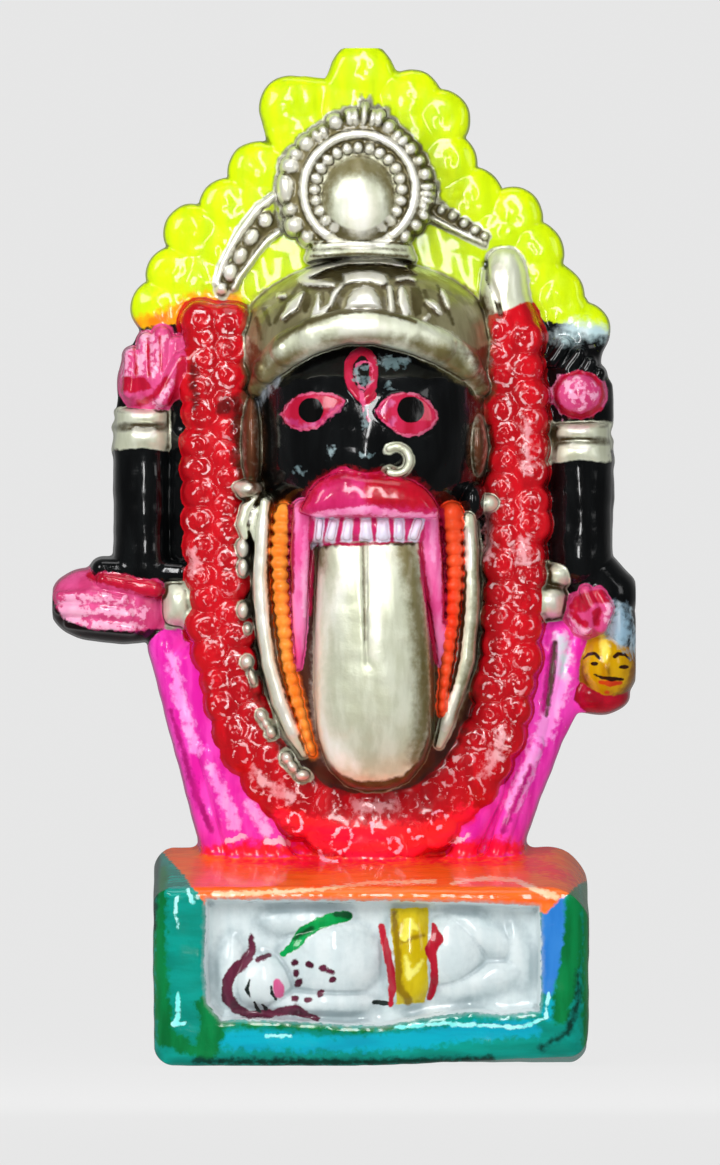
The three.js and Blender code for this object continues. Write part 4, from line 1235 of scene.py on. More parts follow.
# Pale bluish painted highlights on the black face: brow, nose and cheeks.
FACE_HIGHLIGHTS = [
    line([(-3.8, 119.2, 0.4), (-3.3, 117, 0.7), (-1.6, 116.2, 0.7), (0, 117, 0.4)]),
    oval(-1.4, 119.6, 0.8, 0.4), line([(2.6, 121.4, 0.8), (6, 120.8, 1.3), (9, 121.6, 0.6)]),
    line([(-1.4, 109.6, 0.4), (-1.5, 104.6, 0.2)]), oval(-10.2, 98.7, 0.7, 1.1),
    oval(-1.5, 97.7, 0.8, 0.5), oval(4.4, 115, 1, 0.5), oval(-18, 94, 0.8, 0.6),
]
PUPIL_SHAPES = [oval(**size) for size in PUPILS]
LIP_CRIMSON = [area((0, 95), (18, 95), (19, 84.4), (12, 84), (-0.5, 85.6), (-1.6, 90))]
LIP_PALE = strokes([(-14, 82.6, 0.8), (-8, 83.6, 0.7), (-1, 84.2, 1.2), (8, 82.8, 0.7), (16, 82.6, 0.9)])
LIP_RED_EDGE = strokes([(-16.8, 85, 0.8), (-12.8, 91, 0.8), (-6.5, 93.4, 0.9), (-1.5, 92.6, 0.9)])

PALM_CRIMSON = [
    line([(-59.2, 125, 0.3), (-58.6, 118, 0.4)]), line([(-55.8, 127, 0.3), (-55.4, 118, 0.4)]),
    line([(-52.8, 127.4, 0.3), (-52.3, 119, 0.4)]), rim(oval(52, 113.2, 6.4, 6), 1.2),
    area((-61.8, 117.4), (-56.4, 117.6), (-54.8, 114.6), (-59, 113.4), (-62.4, 114)),
    line([(-50.2, 110.8, 1), (-47.8, 114, 1.8), (-46.8, 121, 1.6)]),
    line([(-58, 110.8, 0.8), (-54, 112.8, 0.8), (-51, 117, 0.8)]),
    line([(-70, 67.6, 1.2), (-62, 66.6, 2), (-54, 64.2, 2.2), (-50.8, 62.4, 1.2)]),
    area((49.4, 60), (52, 63.6), (58, 64.4), (59.8, 61.4), (55, 60.6), (53.4, 58.4), (50.4, 58.8)),
    line([(56.6, 59, 1.1), (56.2, 56, 0.9)]),
    line([(48, 108.8, 0.8), (52, 107.4, 1), (57, 109, 1)]),
    line([(53.4, 55.6, 1), (50.4, 58.4, 0.8)]),
]
# Pale pink painted highlights along the fingers, knuckles and palms, broken into a mottle.
PALM_PALE = [
    line([
        (-61, 118.6, 0.7), (-61.2, 123, 0.7), (-59.6, 125.4, 0.7), (-58.2, 122.6, 0.6),
        (-58.4, 118.4, 0.7)]),
    line([(-57.4, 118.4, 0.7), (-57.2, 124, 0.8), (-56, 128, 0.8), (-54.6, 126, 0.6), (-54.4, 119, 0.9)]),
    line([(-53.6, 121, 0.9), (-53, 125.6, 0.9), (-51.6, 126.4, 0.7)]),
    line([(-53.4, 110.4, 0.8), (-50.6, 114.6, 0.9)]), oval(-48.9, 115.9, 0.9, 1.2), oval(-75, 59.4, 3, 4),
    line([(-74, 62, 0.6), (-68, 62.4, 0.8), (-61, 61, 0.8)]),
    line([(-74, 58.8, 0.8), (-68, 59, 0.9), (-57, 58.4, 1)]),
    line([(-72, 55.6, 0.6), (-66, 55.4, 0.9), (-58, 55.4, 0.8)]),
    line([(48.4, 116.6, 0.5), (50.4, 111.8, 0.8)]),
    line([(51.4, 117.4, 0.4), (53.2, 112.6, 0.8), (52.4, 109.4, 0.5)]),
    line([(55, 115.6, 0.5), (55.8, 111.8, 0.6)]),
    line([(46.4, 118, 0.4), (45.9, 112, 0.5), (46.6, 108, 0.4)]),
    line([(50.6, 57.4, 0.8), (52.6, 54.6, 1.3)]), line([(59.4, 60, 0.8), (59, 57, 0.7)]),
]
PALM_EDGE_BLACK = strokes([
    (-81, 62, 1.2), (-78, 55.6, 1.6), (-70, 52.4, 2), (-60, 51.4, 2.4), (-50, 51.6, 3.2),
])
HEAD_BROWS = [
    line([(53.1, 47, 0.2), (54.2, 48.1, 0.4), (55.9, 48.4, 0.4), (57.2, 47, 0.3)]),
    line([(60.8, 47.6, 0.5), (61.8, 48.3, 0.5), (63.4, 48.1, 0.4), (64.6, 47, 0.2)]),
    oval(55.8, 45.8, 1, 0.5), oval(63.2, 45, 1.3, 0.5),
    line([(55.8, 43.1, 0.2), (57.8, 42.3, 0.4), (60.2, 42, 0.6), (62.9, 41.9, 0.3)]),
]
HEAD_LIPS = [line([(57.2, 41.2, 0.4), (59.8, 40.9, 0.9), (62.4, 41.1, 0.4)]), oval(58.9, 38.6, 0.8, 0.5)]
HEAD_SHADE = strokes(
    [(52.4, 49, 0.7), (52.4, 44, 0.9), (54.6, 38.6, 1)],
    [(64.4, 51, 0.8), (66.2, 46, 1.2), (65.4, 40, 1.5), (62, 37, 1.2)],
    [(58.8, 44.6, 0.3), (59.4, 43.4, 0.4)],
)
# A painted highlight down the severed head's forehead.
HEAD_HIGHLIGHT = strokes([(58, 52.4, 1), (58.6, 49, 1.2), (58.4, 46.6, 0.5)])

RIGHT_HAZE = [oval(54, 129.2, 6, 1.8, -0.1), oval(48.6, 127.6, 3, 1.2)]
LEFT_FADE = strokes([(-58, 130.4, 2), (-50, 132.6, 2.4), (-44, 136.2, 2), (-34, 136.8, 1.8)])
# A grey painted sheen at the face's left temple.
TEMPLE_SHEEN = strokes([(-29.4, 109.6, 1.3), (-27.4, 113.4, 1.4), (-23.4, 117, 0.8)])
# A highlight painted on the right cloth.
CLOTH_SPOT_HIGHLIGHT = [area((46.8, 52.5), (48.8, 52), (49.4, 46), (47.4, 42.5), (46.6, 46))]
HAZE_AND_HIGHLIGHT_SOURCES = [
    ("halo", RIGHT_HAZE), ("black", RIGHT_HAZE), ("cloth", CLOTH_SPOT_HIGHLIGHT), ("halo", CLOTH_SPOT_HIGHLIGHT),
]
HAIR_HAZE = [oval(61.6, 55, 3.4, 5.6), oval(65.6, 50, 1, 4)]
# Pale pink haze on the garland, and highlights painted along its inner edge near the foot.
GARLAND_PALE_AND_HIGHLIGHTS = [
    oval(-44.2, 71, 1.2, 4), line([(-29, 19, 0.8), (-26.6, 16.4, 1.4), (-20.4, 12.6, 1.2)]),
    line([(-5, 10.4, 0.7), (1, 9.8, 1.3), (6, 10.4, 0.7)]),
    line([(32.6, 29, 0.8), (31.6, 23.4, 1.6), (28, 18.6, 0.7)]), oval(38, 74, 1.6, 3.4),
    line([(28.8, 84, 1), (29, 72, 0.8)]), line([(38.8, 106, 0.8), (39.4, 94, 0.9)]),
]
# Darker patches on the garland, and painted shade along its inner edge beside the cords.
GARLAND_DARK = [
    line([(-33.4, 112, 1.6), (-33.2, 96, 1.4)]), line([(-44.6, 120, 1), (-44, 110, 0.8)]),
    oval(-36.6, 110, 2.2, 2.4), line([(-28.4, 38, 0.6), (-24, 27, 0.8), (-16, 18, 0.8), (-6, 14, 0.5)]),
    line([(26.4, 40, 0.6), (22, 27, 0.8), (15, 18, 0.8), (6, 14, 0.5)]),
]
CLOTH_PINK_RED = strokes([
    (-44, -3, 3), (-30, -3.6, 5), (-10, -5, 6), (16, -4.6, 6), (32, -3, 5), (42, -3, 3),
])
GARLAND_FOOT = strokes([(-22, 8, 2), (-12, 3, 4), (0, 1, 5), (14, 2, 4.4), (24, 8, 2.4)])
FOOT_STROKES = [
    rim(oval(-7.2, 2, 2.4, 3.6, -0.5), 0.5), rim(oval(5.9, 0.6, 1.6, 2.2, 0.2), 0.4),
    line([(0.2, 6, 0.3), (0.4, 3, 0.3)]), line([(-13, -1, 0.4), (-12, -3, 0.4), (-9, -3.4, 0.5)]),
    line([(-36, 1.6, 0.4), (-33, 2.2, 0.8), (-31.4, 3, 0.5)]),
    line([(-26, 1.4, 0.4), (-22.6, 1.6, 0.9), (-20.4, 0.8, 0.4)]),
    line([(20, 1, 0.4), (23, 2, 0.5), (25.4, 3, 0.3)]),
    line([(9.4, 4.4, 0.3), (10.6, 2.4, 0.4), (12.4, 2.8, 0.3)]), rim(oval(-19, 6.4, 1.8, 2.6, 0.4), 0.4),
    rim(oval(17, 7, 2, 2.4, -0.3), 0.4),
]
STROKE_SOURCES = [(owner, FOOT_STROKES) for owner in ("garland", "cloth", "plinth", "halo")]
RED_SOURCES = [
    ("plinth", RED_TOP), ("cloth", CLOTH_PINK_RED), ("halo", CLOTH_PINK_RED), ("garland", GARLAND_FOOT),
]
# Painted highlights along the tops of the cloth's folds, and painted shade beside them.
CLOTH_FOLD_HIGHLIGHTS = strokes(
    [(-50, 48, 1), (-48, 38, 1.4), (-43.6, 24, 1.2)], [(-40, 20, 1), (-34, 6, 1.8)],
    [(47.6, 52, 1.8), (47, 40, 2.6), (43, 28, 2.2)], [(41, 24, 1.8), (35, 10, 1.8)],
    [(-30, 10, 1.4), (-26, 4, 1.4)],
)
CLOTH_FOLD_SHADE = strokes(
    [(-50, 34, 0.6), (-44, 14, 0.8), (-40, 4, 0.8)], [(45.4, 50, 0.8), (44.4, 42, 1), (43, 34, 0.7)],
    [(40, 20, 0.6), (33, 4, 0.8)],
)
ORANGE_BEADS = [area((-30, 90), (-10, 90), (-10, 10), (-30, 10))]
# Painted highlights down the cheek strands.
PINK_HIGHLIGHTS = strokes(
    [(-16.6, 80, 0.4), (-16.7, 70, 0.7), (-16.6, 58, 0.6)], [(15.2, 82, 0.9), (15.6, 72, 0.6)],
)
# Crimson painted shade in the gaps round the teeth, the tongue and the cheek strands.
CRIMSON_LINES = strokes(
    [(-15, 76, 0.6), (-4, 75.6, 0.4), (2, 75.8, 0.4), (12, 77.4, 0.5)],
    [(-14.9, 83, 0.7), (-14.8, 70, 0.6), (-15.2, 58, 0.4)],
    [(-20, 85, 0.9), (-19.9, 74, 0.9), (-19.6, 64, 0.5)],
    [(12.2, 77.4, 0.6), (13, 68, 0.8), (14.8, 56, 0.7), (16.4, 46, 0.5)],
    [(17.4, 84, 0.8), (18.2, 70, 0.7), (18.4, 56, 0.6)],
)
CRIMSON_SOURCES = [(owner, CRIMSON_LINES) for owner in ("gold", "lips", "pink", "beads", "chest")]
# A darker olive ground painted round the crown's raised leaves, as shade between them.
CROWN_ZONE = [
    area(
        (-31, 136), (-28, 140), (-22, 143.4), (-15, 143), (-10, 144.6), (-4, 145.4), (4, 145.4),
        (10, 144.4), (18, 142), (24, 139.4), (28.5, 134), (30, 126), (26, 124), (20, 128.6), (12, 131.4),
        (4, 133.2), (-4, 133.6), (-12, 131.8), (-20, 127.6), (-26, 122.6), (-31, 128)),
]
# Painted shade on the gold: in the crown's crescent groove, between the neck's rings, round the half dome,
# along the ledge above the brow band, and between the leaves.
CROWN_SHADE = [
    polygon(CROWN_CRESCENT), line([(-14, 150.8, 0.3), (-3, 151.2, 0.4), (9, 150.6, 0.3)]),
    line([(-14.4, 149, 0.2), (-3, 149.7, 0.3), (8.6, 149, 0.2)]),
    line([(-15, 147.4, 0.3), (-3, 148.1, 0.4), (9.4, 147.4, 0.3)]),
    line([
        (-8.6, 135, 1.2), (-7.6, 137.4, 0.9), (-5.8, 139.6, 0.6), (-2.5, 140.8, 0.4), (1, 140.4, 0.5),
        (2.8, 138, 0.6), (3.4, 134.6, 0.6)]),
    line([
        (-23, 127, 0.5), (-16, 131, 0.7), (-8.6, 133.2, 0.6), (-1, 133.9, 0.6), (5.2, 133, 0.7),
        (11, 131, 0.6)]),
    line([(6.2, 138.4, 0.3), (6.3, 134.4, 0.4)]),
    area((9.8, 139.6), (12, 139.8), (13, 137), (12.6, 133), (11, 132), (10.2, 134), (10, 137)),
    line([(-16.6, 139.6, 0.8), (-16, 136.6, 1.1), (-16.4, 134, 0.9)]),
    line([(-18, 140.2, 0.4), (-21, 136, 0.7), (-24, 131, 0.5)]),
    line([(-12, 138.4, 0.3), (-12, 135.4, 0.4)]), line([(-10, 138.6, 0.6), (-9.2, 136, 0.5)]),
    line([(-26.6, 134.4, 0.7), (-25.4, 130.6, 0.6)]), line([(-28.6, 132, 0.5), (-27.4, 127, 0.5)]),
    line([(13.4, 138.8, 0.5), (14.6, 133.4, 0.5)]),
    line([(16.6, 140, 0.4), (18.8, 135, 0.5), (20.4, 130.6, 0.4)]),
]
# Olive painted shade on the gold's turned-away sides: the crown's and brow band's ends, the tongue's right
# side, the right cord, and round the crest's dome.
GOLD_OLIVE_SHADE = strokes(
    [(-31, 138, 3.4), (-27, 129, 3.4), (-29, 114, 3)], [(22, 141, 2), (27, 132, 3.4), (29, 122, 3)],
    [(-18, 123.4, 1), (-24, 119.6, 2.4), (-28, 114.6, 2.6)],
    [(11, 125.6, 1.4), (19, 122.4, 2.8), (28, 113, 3)],
    [(-12, 126, 0.5), (-2, 127.2, 0.6), (8, 126.6, 0.5)], [(18, 143, 1.2), (24, 139.6, 1.2)],
    [(-20.6, 129, 0.8), (-12, 132, 0.6)],
    [(8.6, 74, 2.4), (10.6, 66, 2.2), (12, 56, 2), (13.2, 44, 2), (13.4, 32, 2), (11, 22, 1.6)],
    [(-12.8, 75, 1), (-12.4, 70, 0.8)],
    [(26.4, 76, 0.7), (26.3, 60, 0.8), (24.6, 45, 0.8), (21, 33, 0.8)],
    [
        (-11.6, 158, 0.9), (-11.4, 164.6, 1.5), (-8.8, 168.8, 2.3), (-3.2, 170.6, 2.8), (2.2, 168.8, 2.3),
        (5, 164.6, 1.5), (5.6, 158, 0.9)],
)
# Reddish brown painted on the crown's sides as a reflection of the red garland, and brown on the ears.
GOLD_BROWN = [
    area(
        (20.6, 138), (23, 139.4), (27.6, 137), (32, 132), (32, 116), (28, 112), (26.6, 118), (24.6, 123),
        (20, 131)),
    line([(-30, 134, 2), (-28.4, 126, 2), (-30, 118, 2)]), oval(26.6, 100.4, 3, 9),
    line([(-30.4, 111, 3), (-30, 91, 3)]),
]
# Painted shade along the tongue's turned-away edges, its foot and its groove.
TONGUE_SHADE = strokes(
    [
        (13.9, 66, 0.4), (15, 52, 0.7), (15.6, 38, 0.8), (15, 28, 0.9), (12.6, 21, 1), (8.6, 17, 1.2),
        (3, 15.2, 1.5), (-3, 15, 1.5), (-8, 17.4, 1), (-11.2, 21.6, 0.6)],
    [(-13.6, 74, 0.4), (-14.5, 54, 0.4), (-14.7, 38, 0.4), (-13.5, 27, 0.4), (-11.2, 21.6, 0.6)],
    [(-13.6, 77, 0.6), (-8, 76.4, 0.6), (-3, 76.2, 0.4)],
    [(-1.7, 76, 0.4), (-1.6, 62, 0.35), (-1.4, 52, 0.25)],
)
# Soft painted highlights on the gold: the crest's dome, the brow band's middle, and bright bands down the
# tongue.
GOLD_HIGHLIGHT = [
    oval(-2.6, 158.8, 4, 6), line([(-7, 128.8, 0.4), (-2, 129.8, 0.9), (3, 129.6, 0.6)]),
    line([
        (-6, 75, 1.6), (-5.4, 70, 2), (-8, 65, 1.7), (-10, 60, 1.3), (-11.4, 55, 1.1), (-12, 50, 1.1),
        (-12.4, 42, 1), (-12.2, 34, 1.3), (-11, 28, 1.8), (-8.6, 23.4, 2.4), (-4.6, 20.6, 1.6)]),
    line([(0.6, 75, 1.2), (1, 66, 1.2), (0.9, 56, 0.9), (0.5, 48, 0.5)]),
]
# Painted highlights on the gold's raised tops: the crown's leaves and half dome, the left cord, the bangles
# and the sword's tip; and the necklace dashes' own pale paint.
GOLD_LIGHT = crown_shapes() + [polygon(CROWN_HALF_DOME)] + [oval(*dash) for dash in DASHES] + [
    line([
        (-26.8, 82, 1), (-27.5, 70, 1.4), (-26.8, 56, 1.4), (-25.2, 46, 1.4), (-22.4, 36, 1.4),
        (-19.2, 28.6, 1.2)]),
    line([(24.4, 79, 1), (24.4, 70, 0.9)]), line([(21.4, 40, 0.9), (19.4, 33, 1.1), (18.4, 30, 0.9)]),
    line([(-59, 108.4, 1), (-55, 108.6, 1)]), line([(-58.6, 103.6, 1.2), (-54.6, 103.4, 1.2)]),
    line([(50, 104.4, 1), (54, 104.4, 0.8)]), line([(50.4, 100, 1), (54, 99.6, 0.8)]),
    oval(45.4, 60.6, 1.6, 3.4), oval(32, 141, 2.2, 5), line([(-29.4, 84.6, 0.6), (-30, 81.4, 0.7)]),
]


def arch_light():
    """The lit tops of the arch's lines and beads."""
    shapes = [line(places) for places in ARCH_LINES]
    for x, up, tall, wide in ARCH_BEADS:
        lean = facing((x, up), ARCH_MIDDLE) + math.pi / 2
        shapes.append(oval(x, up, wide * ARCH_BEAD["lit"], tall * ARCH_BEAD["lit"], lean))
    return shapes


def disc_light():
    """The lit tops of the crest's pearls and of the ring between them."""
    reach = DISC_RING["radius"] + DISC_RING["lit"]
    shapes = [rim(oval(*DISC_MIDDLE, reach, reach), 2 * DISC_RING["lit"])]
    for x, up, wide, tall in DISC_PEARLS:
        shapes.append(oval(x, up, wide * PEARL["lit"], tall * PEARL["lit"], facing((x, up), DISC_MIDDLE)))
    across, along = DISC_INNER["lit"]
    for x, up, turn in inner_beads():
        shapes.append(oval(x, up, DISC_INNER["size"] * across, DISC_INNER["size"] * along, turn))
    return shapes


# Painted shade in the cloth's carved slit.
SLIT = [line(CLOTH_SLIT)]


def disc_ground():
    """The sunk ground between the crest's pearls, down to its neck, painted dark as shade."""
    ring = rim(oval(*DISC_MIDDLE, DISC_GROUND_OUTER, DISC_GROUND_OUTER), DISC_GROUND_WIDE)
    return [Flat(lambda px, pu: np.maximum(ring.distance(px, pu), DISC_GROUND_FOOT - pu), [DISC_MIDDLE], 0)]


# The gold's painted shade, in grooves, between pearls and beads and along turned-away edges.
GOLD_SHADE_SOURCES = [
    ("gold", CROWN_SHADE + TONGUE_SHADE + disc_ground() + [polygon(bed) for bed in ARCH_BEDS]),
]
GOLD_LIGHT_SOURCES = [("gold", GOLD_LIGHT + disc_light() + arch_light())]


class Paint:
    """A paint with a second shade, its gloss, and where it lies, as sources of owner and shapes."""

    def __init__(self, name, shades, sources, rough=0.22, metal=0.0, edge=0.25, ragged=0.5, level=0.0):
        self.name = name
        self.shades = shades
        self.sources = sources
        self.rough = rough
        self.metal = metal
        self.edge = edge
        self.ragged = ragged
        self.level = level


def paints():
    """All paints in the order in which they are laid on."""
    gold = dict(rough=0.4, metal=0.4)
    return [
        Paint("halo", ("dcf400", "c8e600"), [("halo", None)], rough=0.34),
        # Painted shade in the halo's hollows.
        Paint("halo_hollow_shade", ("a4c000", "8ca400"), [], edge=0.8, ragged=0.6, rough=0.34),
        Paint("plinth", ("079a8c", "068474"), [("plinth", None)], ragged=0.4, level=1),
        Paint("left_fade", ("ff8a08", "ffb010"), [("halo", LEFT_FADE)], edge=1.6, ragged=2),
        Paint("arm_ground", ("08090a", "111314"), [("halo", ARM_GROUNDS)], rough=0.16, ragged=1.2),
        Paint("cloth_ground", ("e81aa8", "ff3ec2"), [("halo", CLOTH_GROUND)], rough=0.3, ragged=1),
        Paint("cloth", ("e81aa8", "ff46c6"), [("cloth", None)], rough=0.3),
        # Painted highlights on the cloth's folds, and painted shade beside them.
        Paint(
            "cloth_fold_highlight", ("ff8ce2", "ffb4ee"), [("cloth", CLOTH_FOLD_HIGHLIGHTS)], rough=0.3, edge=0.9,
            ragged=2.6),
        Paint("cloth_fold_shade", ("cc1488", "b01074"), [("cloth", CLOTH_FOLD_SHADE)], rough=0.3, edge=0.6, ragged=1.2),
        Paint("chest", ("4a2c22", "3a1e18"), [("chest", None)], rough=0.35),
        Paint("black", ("060708", "0e1011"), [("black", None)], rough=0.15),
        Paint("garland", ("d0101e", "b00c18"), [("garland", None)], ragged=0.8),
        # Painted shade in the garland's hollows.
        Paint("garland_hollow_shade", ("a40a14", "8c0a10"), [], edge=1, ragged=0.8),
        # Darker patches, and painted shade along the garland's inner edge.
        Paint("garland_dark", ("701012", "5a1010"), [("garland", GARLAND_DARK)], edge=1.2, ragged=1.8),
        Paint("gold", ("eef2dc", "d6dabe"), [("gold", None)], ragged=0.35, **gold),
        # Olive painted shade on the gold.
        Paint(
            "gold_olive_shade", ("918a62", "7c7348"), [("gold", GOLD_OLIVE_SHADE)], edge=2.0, ragged=1.5,
            rough=0.45, metal=0.5),
        # Reddish brown on the gold: a painted reflection of the garland on the crown's sides, and the ears'
        # brown.
        Paint(
            "gold_brown", ("6e4028", "53301c"), [("gold", GOLD_BROWN)], edge=2.2, ragged=2.4,
            rough=0.45, metal=0.4),
        # Painted shade round the crown's raised leaves.
        Paint(
            "crown_zone", ("a8a27c", "8c8660"), [("gold", CROWN_ZONE)], edge=0.6, ragged=1, rough=0.45,
            metal=0.6),
        # Painted shade in the gold's hollows and along the crest's gold edge.
        Paint("gold_hollow_shade", ("4e4226", "3c301a"), [], edge=0.8, ragged=0.5, rough=0.45, metal=0.4),
        # Painted shade on the gold.
        Paint(
            "gold_shade", ("544c2c", "6a6240"), GOLD_SHADE_SOURCES, edge=0.4, ragged=0.5, rough=0.45,
            metal=0.5),
        # Painted highlights on the gold, and the dashes' pale paint.
        Paint(
            "gold_light", ("fffef4", "f0eedc"), GOLD_LIGHT_SOURCES, edge=0.4, ragged=0.7, rough=0.38,
            metal=0.5),
        # Soft painted highlights on the gold.
        Paint(
            "gold_highlight", ("fffef4", "f6f4e2"), [("gold", GOLD_HIGHLIGHT)], edge=2.4, ragged=1.4, rough=0.38,
            metal=0.2),
        Paint("beads", ("f83a14", "ff5a2c"), [("beads", None)]),
        Paint("beads_orange", ("ff7c18", "ffa03c"), [("beads", ORANGE_BEADS)], edge=1, ragged=1),
        Paint("pink", ("e84c94", "f684bc"), [("pink", None)]),
        # Crimson painted shade in gaps round the mouth.
        Paint("crimson_lines", ("b81c48", "9c1638"), CRIMSON_SOURCES, edge=0.3, ragged=0.6),
        Paint("lips", ("c01456", "d42c72"), [("lips", None)], rough=0.35),
        Paint(
            "lip_crimson", ("a40a1e", "be1028"), [("lips", LIP_CRIMSON + LIP_RED_EDGE)], edge=1.8,
            ragged=2.4),
        # Pale pink along the lip's lower rim, and painted highlights down the cheek strands.
        Paint(
            "lip_pale", ("f070b0", "fca8d4"), [("lips", LIP_PALE), ("pink", PINK_HIGHLIGHTS)], edge=0.4,
            ragged=1.2),
        Paint("teeth", ("e6def4", "f4f0ff"), [("teeth", None)], ragged=0.25),
        Paint("skin", ("e05490", "cc3a72"), [("skin", None)], rough=0.28),
        # Painted highlights on the hands.
        Paint("palm_pale", ("f6b4d0", "eea0c4"), [("skin", PALM_PALE)], edge=0.6, ragged=3.6, rough=0.3),
        Paint("palm_crimson", ("c41236", "a80e2c"), [("skin", PALM_CRIMSON)], edge=0.4, ragged=1),
        Paint("palm_edge", ("120a0c", "1c1012"), [("skin", PALM_EDGE_BLACK)], edge=0.3, ragged=0.8),
        Paint("head", ("c08c00", "d4a404"), [("head", None)]),
        Paint("head_shade", ("8c5a06", "784804"), [("head", HEAD_SHADE)], edge=0.9, ragged=1.2),
        # A painted highlight on the severed head.
        Paint("head_highlight", ("ffe030", "ffec70"), [("head", HEAD_HIGHLIGHT)], edge=0.6, ragged=0.8),
        Paint("head_lips", ("d44a14", "c83410"), [("head", HEAD_LIPS)], ragged=0.4),
        Paint("head_lines", ("3a1c08", "2a1206"), [("head", HEAD_BROWS)], edge=0.15, ragged=0.25),
        Paint("neck", ("b40e28", "960a20"), [("neck", None)]),
        Paint("rim_cyan", ("06aec4", "0a9cb6"), [("plinth", CYAN_RIM)], edge=0.9, ragged=2.6, level=1),
        Paint("rim_green", ("078244", "056c34"), [("plinth", GREEN_RIM)], edge=0.7, ragged=2),
        Paint("rim_blue", ("2878cc", "3484d4"), [("plinth", BLUE_RIM)], edge=0.5, ragged=1.2),
        Paint("rim_dark", ("084438", "0a362e"), [("plinth", DARK_RIM)], edge=0.8, ragged=1.4),
        # Painted highlights on the plinth's rim.
        Paint("rim_highlight", ("7cf0ec", "b8fbf8"), [("plinth", RIM_HIGHLIGHTS)], edge=0.2, ragged=0.9),
        Paint("orange_top", ("ff6418", "ff7828"), [("plinth", ORANGE_TOP)], edge=0.3, ragged=0.9, level=1),
        Paint("red_top", ("ff1240", "ff2830"), RED_SOURCES, edge=1.6, ragged=3, level=1),
        Paint("foot_strokes", ("ffa8c8", "ffd4e4"), STROKE_SOURCES, edge=0.25, ragged=1.6),
        # A painted highlight along the top's front edge.
        Paint("top_highlight", ("ffc08c", "ffd8b0"), [("plinth", TOP_EDGE_HIGHLIGHTS)], edge=0.3, ragged=1),
        Paint("niche", ("dfe9ea", "d3e0e2"), [], edge=0.2, ragged=0.6, rough=0.3),
        # Painted shade in the niche's hollows, round Shiva's relief.
        Paint("niche_hollow_shade", ("b4c2c6", "a6b6ba"), [], edge=1.2, ragged=0.8, rough=0.3),
        Paint(
            "niche_hair", ("6e2c44", "4a1a2c"), [("niche", HAIR_STROKES + NECKLACE_DOTS)], edge=0.25,
            ragged=0.7),
        Paint("niche_lines", ("1c2422", "2a3230"), [("niche", SHIVA_FACE)], edge=0.15, ragged=0.4),
        Paint("niche_mouth", ("d84a86", "e06a9c"), [("niche", SHIVA_MOUTH)], edge=0.3, ragged=0.5),
        Paint("niche_snake", ("078c40", "0aa450"), [("niche", SNAKE)], edge=0.2, ragged=0.6),
        Paint("snake_dark", ("064a24", "085c2c"), [("niche", SNAKE_DARK)], edge=0.4, ragged=0.6),
        Paint("wrap", ("c8ac06", "dcc418"), [("niche", WRAP)], edge=0.2, ragged=0.4),
        Paint("wrap_shade", ("9c7c08", "866806"), [("niche", WRAP_SHADE)], edge=0.5, ragged=0.8),
        # Painted highlights on the loincloth.
        Paint("wrap_highlight", ("f0e450", "f8f080"), [("niche", WRAP_HIGHLIGHTS)], edge=0.4, ragged=0.8),
        Paint("wrap_border", ("a81228", "c02034"), [("niche", WRAP_BORDER)], edge=0.2, ragged=0.5),
        Paint("eye_red", ("b01434", "c4264c"), [("black", EYE_RED + BROW_MARK)], edge=0.15, ragged=0.3),
        Paint("eye_pink", ("b02c62", "d06494"), [("black", EYE_PINK)], edge=0.6, ragged=1.6),
        Paint("eye_rim", ("d84c7c", "dc7090"), [("black", EYE_RIM + BROW_MARK_PALE)], edge=0.2, ragged=0.9),
        # Painted highlights on the face.
        Paint("face_highlights", ("5c7276", "94a8ac"), [("black", FACE_HIGHLIGHTS)], edge=0.7, ragged=3),
        Paint("pupils", ("050505", "0a0909"), [("black", PUPIL_SHAPES)], edge=0.15, ragged=0.2, rough=0.15),
        # Pale pink haze, and painted highlights along the garland's lower inner edge.
        Paint(
            "garland_pale_and_highlight", ("e88890", "f0b0b6"), [("garland", GARLAND_PALE_AND_HIGHLIGHTS)], edge=1.2, ragged=4,
            rough=0.35),
        # Pale haze sprayed where the halo meets the right raised hand, and a highlight painted on the right
        # cloth.
        Paint("pale_haze_and_highlight", ("b8d4d8", "d8eaec"), HAZE_AND_HIGHLIGHT_SOURCES, edge=2.0, ragged=2.4),
        Paint("hair_haze", ("8fb0c4", "c8dce4"), [("black", HAIR_HAZE)], edge=1.6, ragged=3.4),
        # A grey painted sheen at the left temple.
        Paint("temple_sheen", ("6c747c", "98a0a8"), [("black", TEMPLE_SHEEN)], edge=1.0, ragged=2.0),
        # Painted shade in the cloth's slit.
        Paint("slit", ("6a4a44", "553a38"), [("cloth", SLIT), ("halo", SLIT)], edge=0.4, ragged=0.6),
        Paint("back", ("d9d4c8", "c9c3b4"), [], edge=0.3, ragged=1.2, rough=0.6),
    ]


def covered(sources, margins, x, up):
    """How far inside a paint's sources each point is, in squares."""
    deepest = np.full(len(x), -FAR, np.float32)
    for owner, shapes in sources:
        inside = margins[owner] + OVERLAP
        if shapes is not None:
            drawn = np.full(len(x), -FAR, np.float32)
            near = inside > -PAINT_REACH
            for shape in shapes:
                drawn[near] = np.maximum(drawn[near], -shape.distance(x[near], up[near]))
            inside = np.minimum(inside, drawn)
        deepest = np.maximum(deepest, inside)
    return deepest


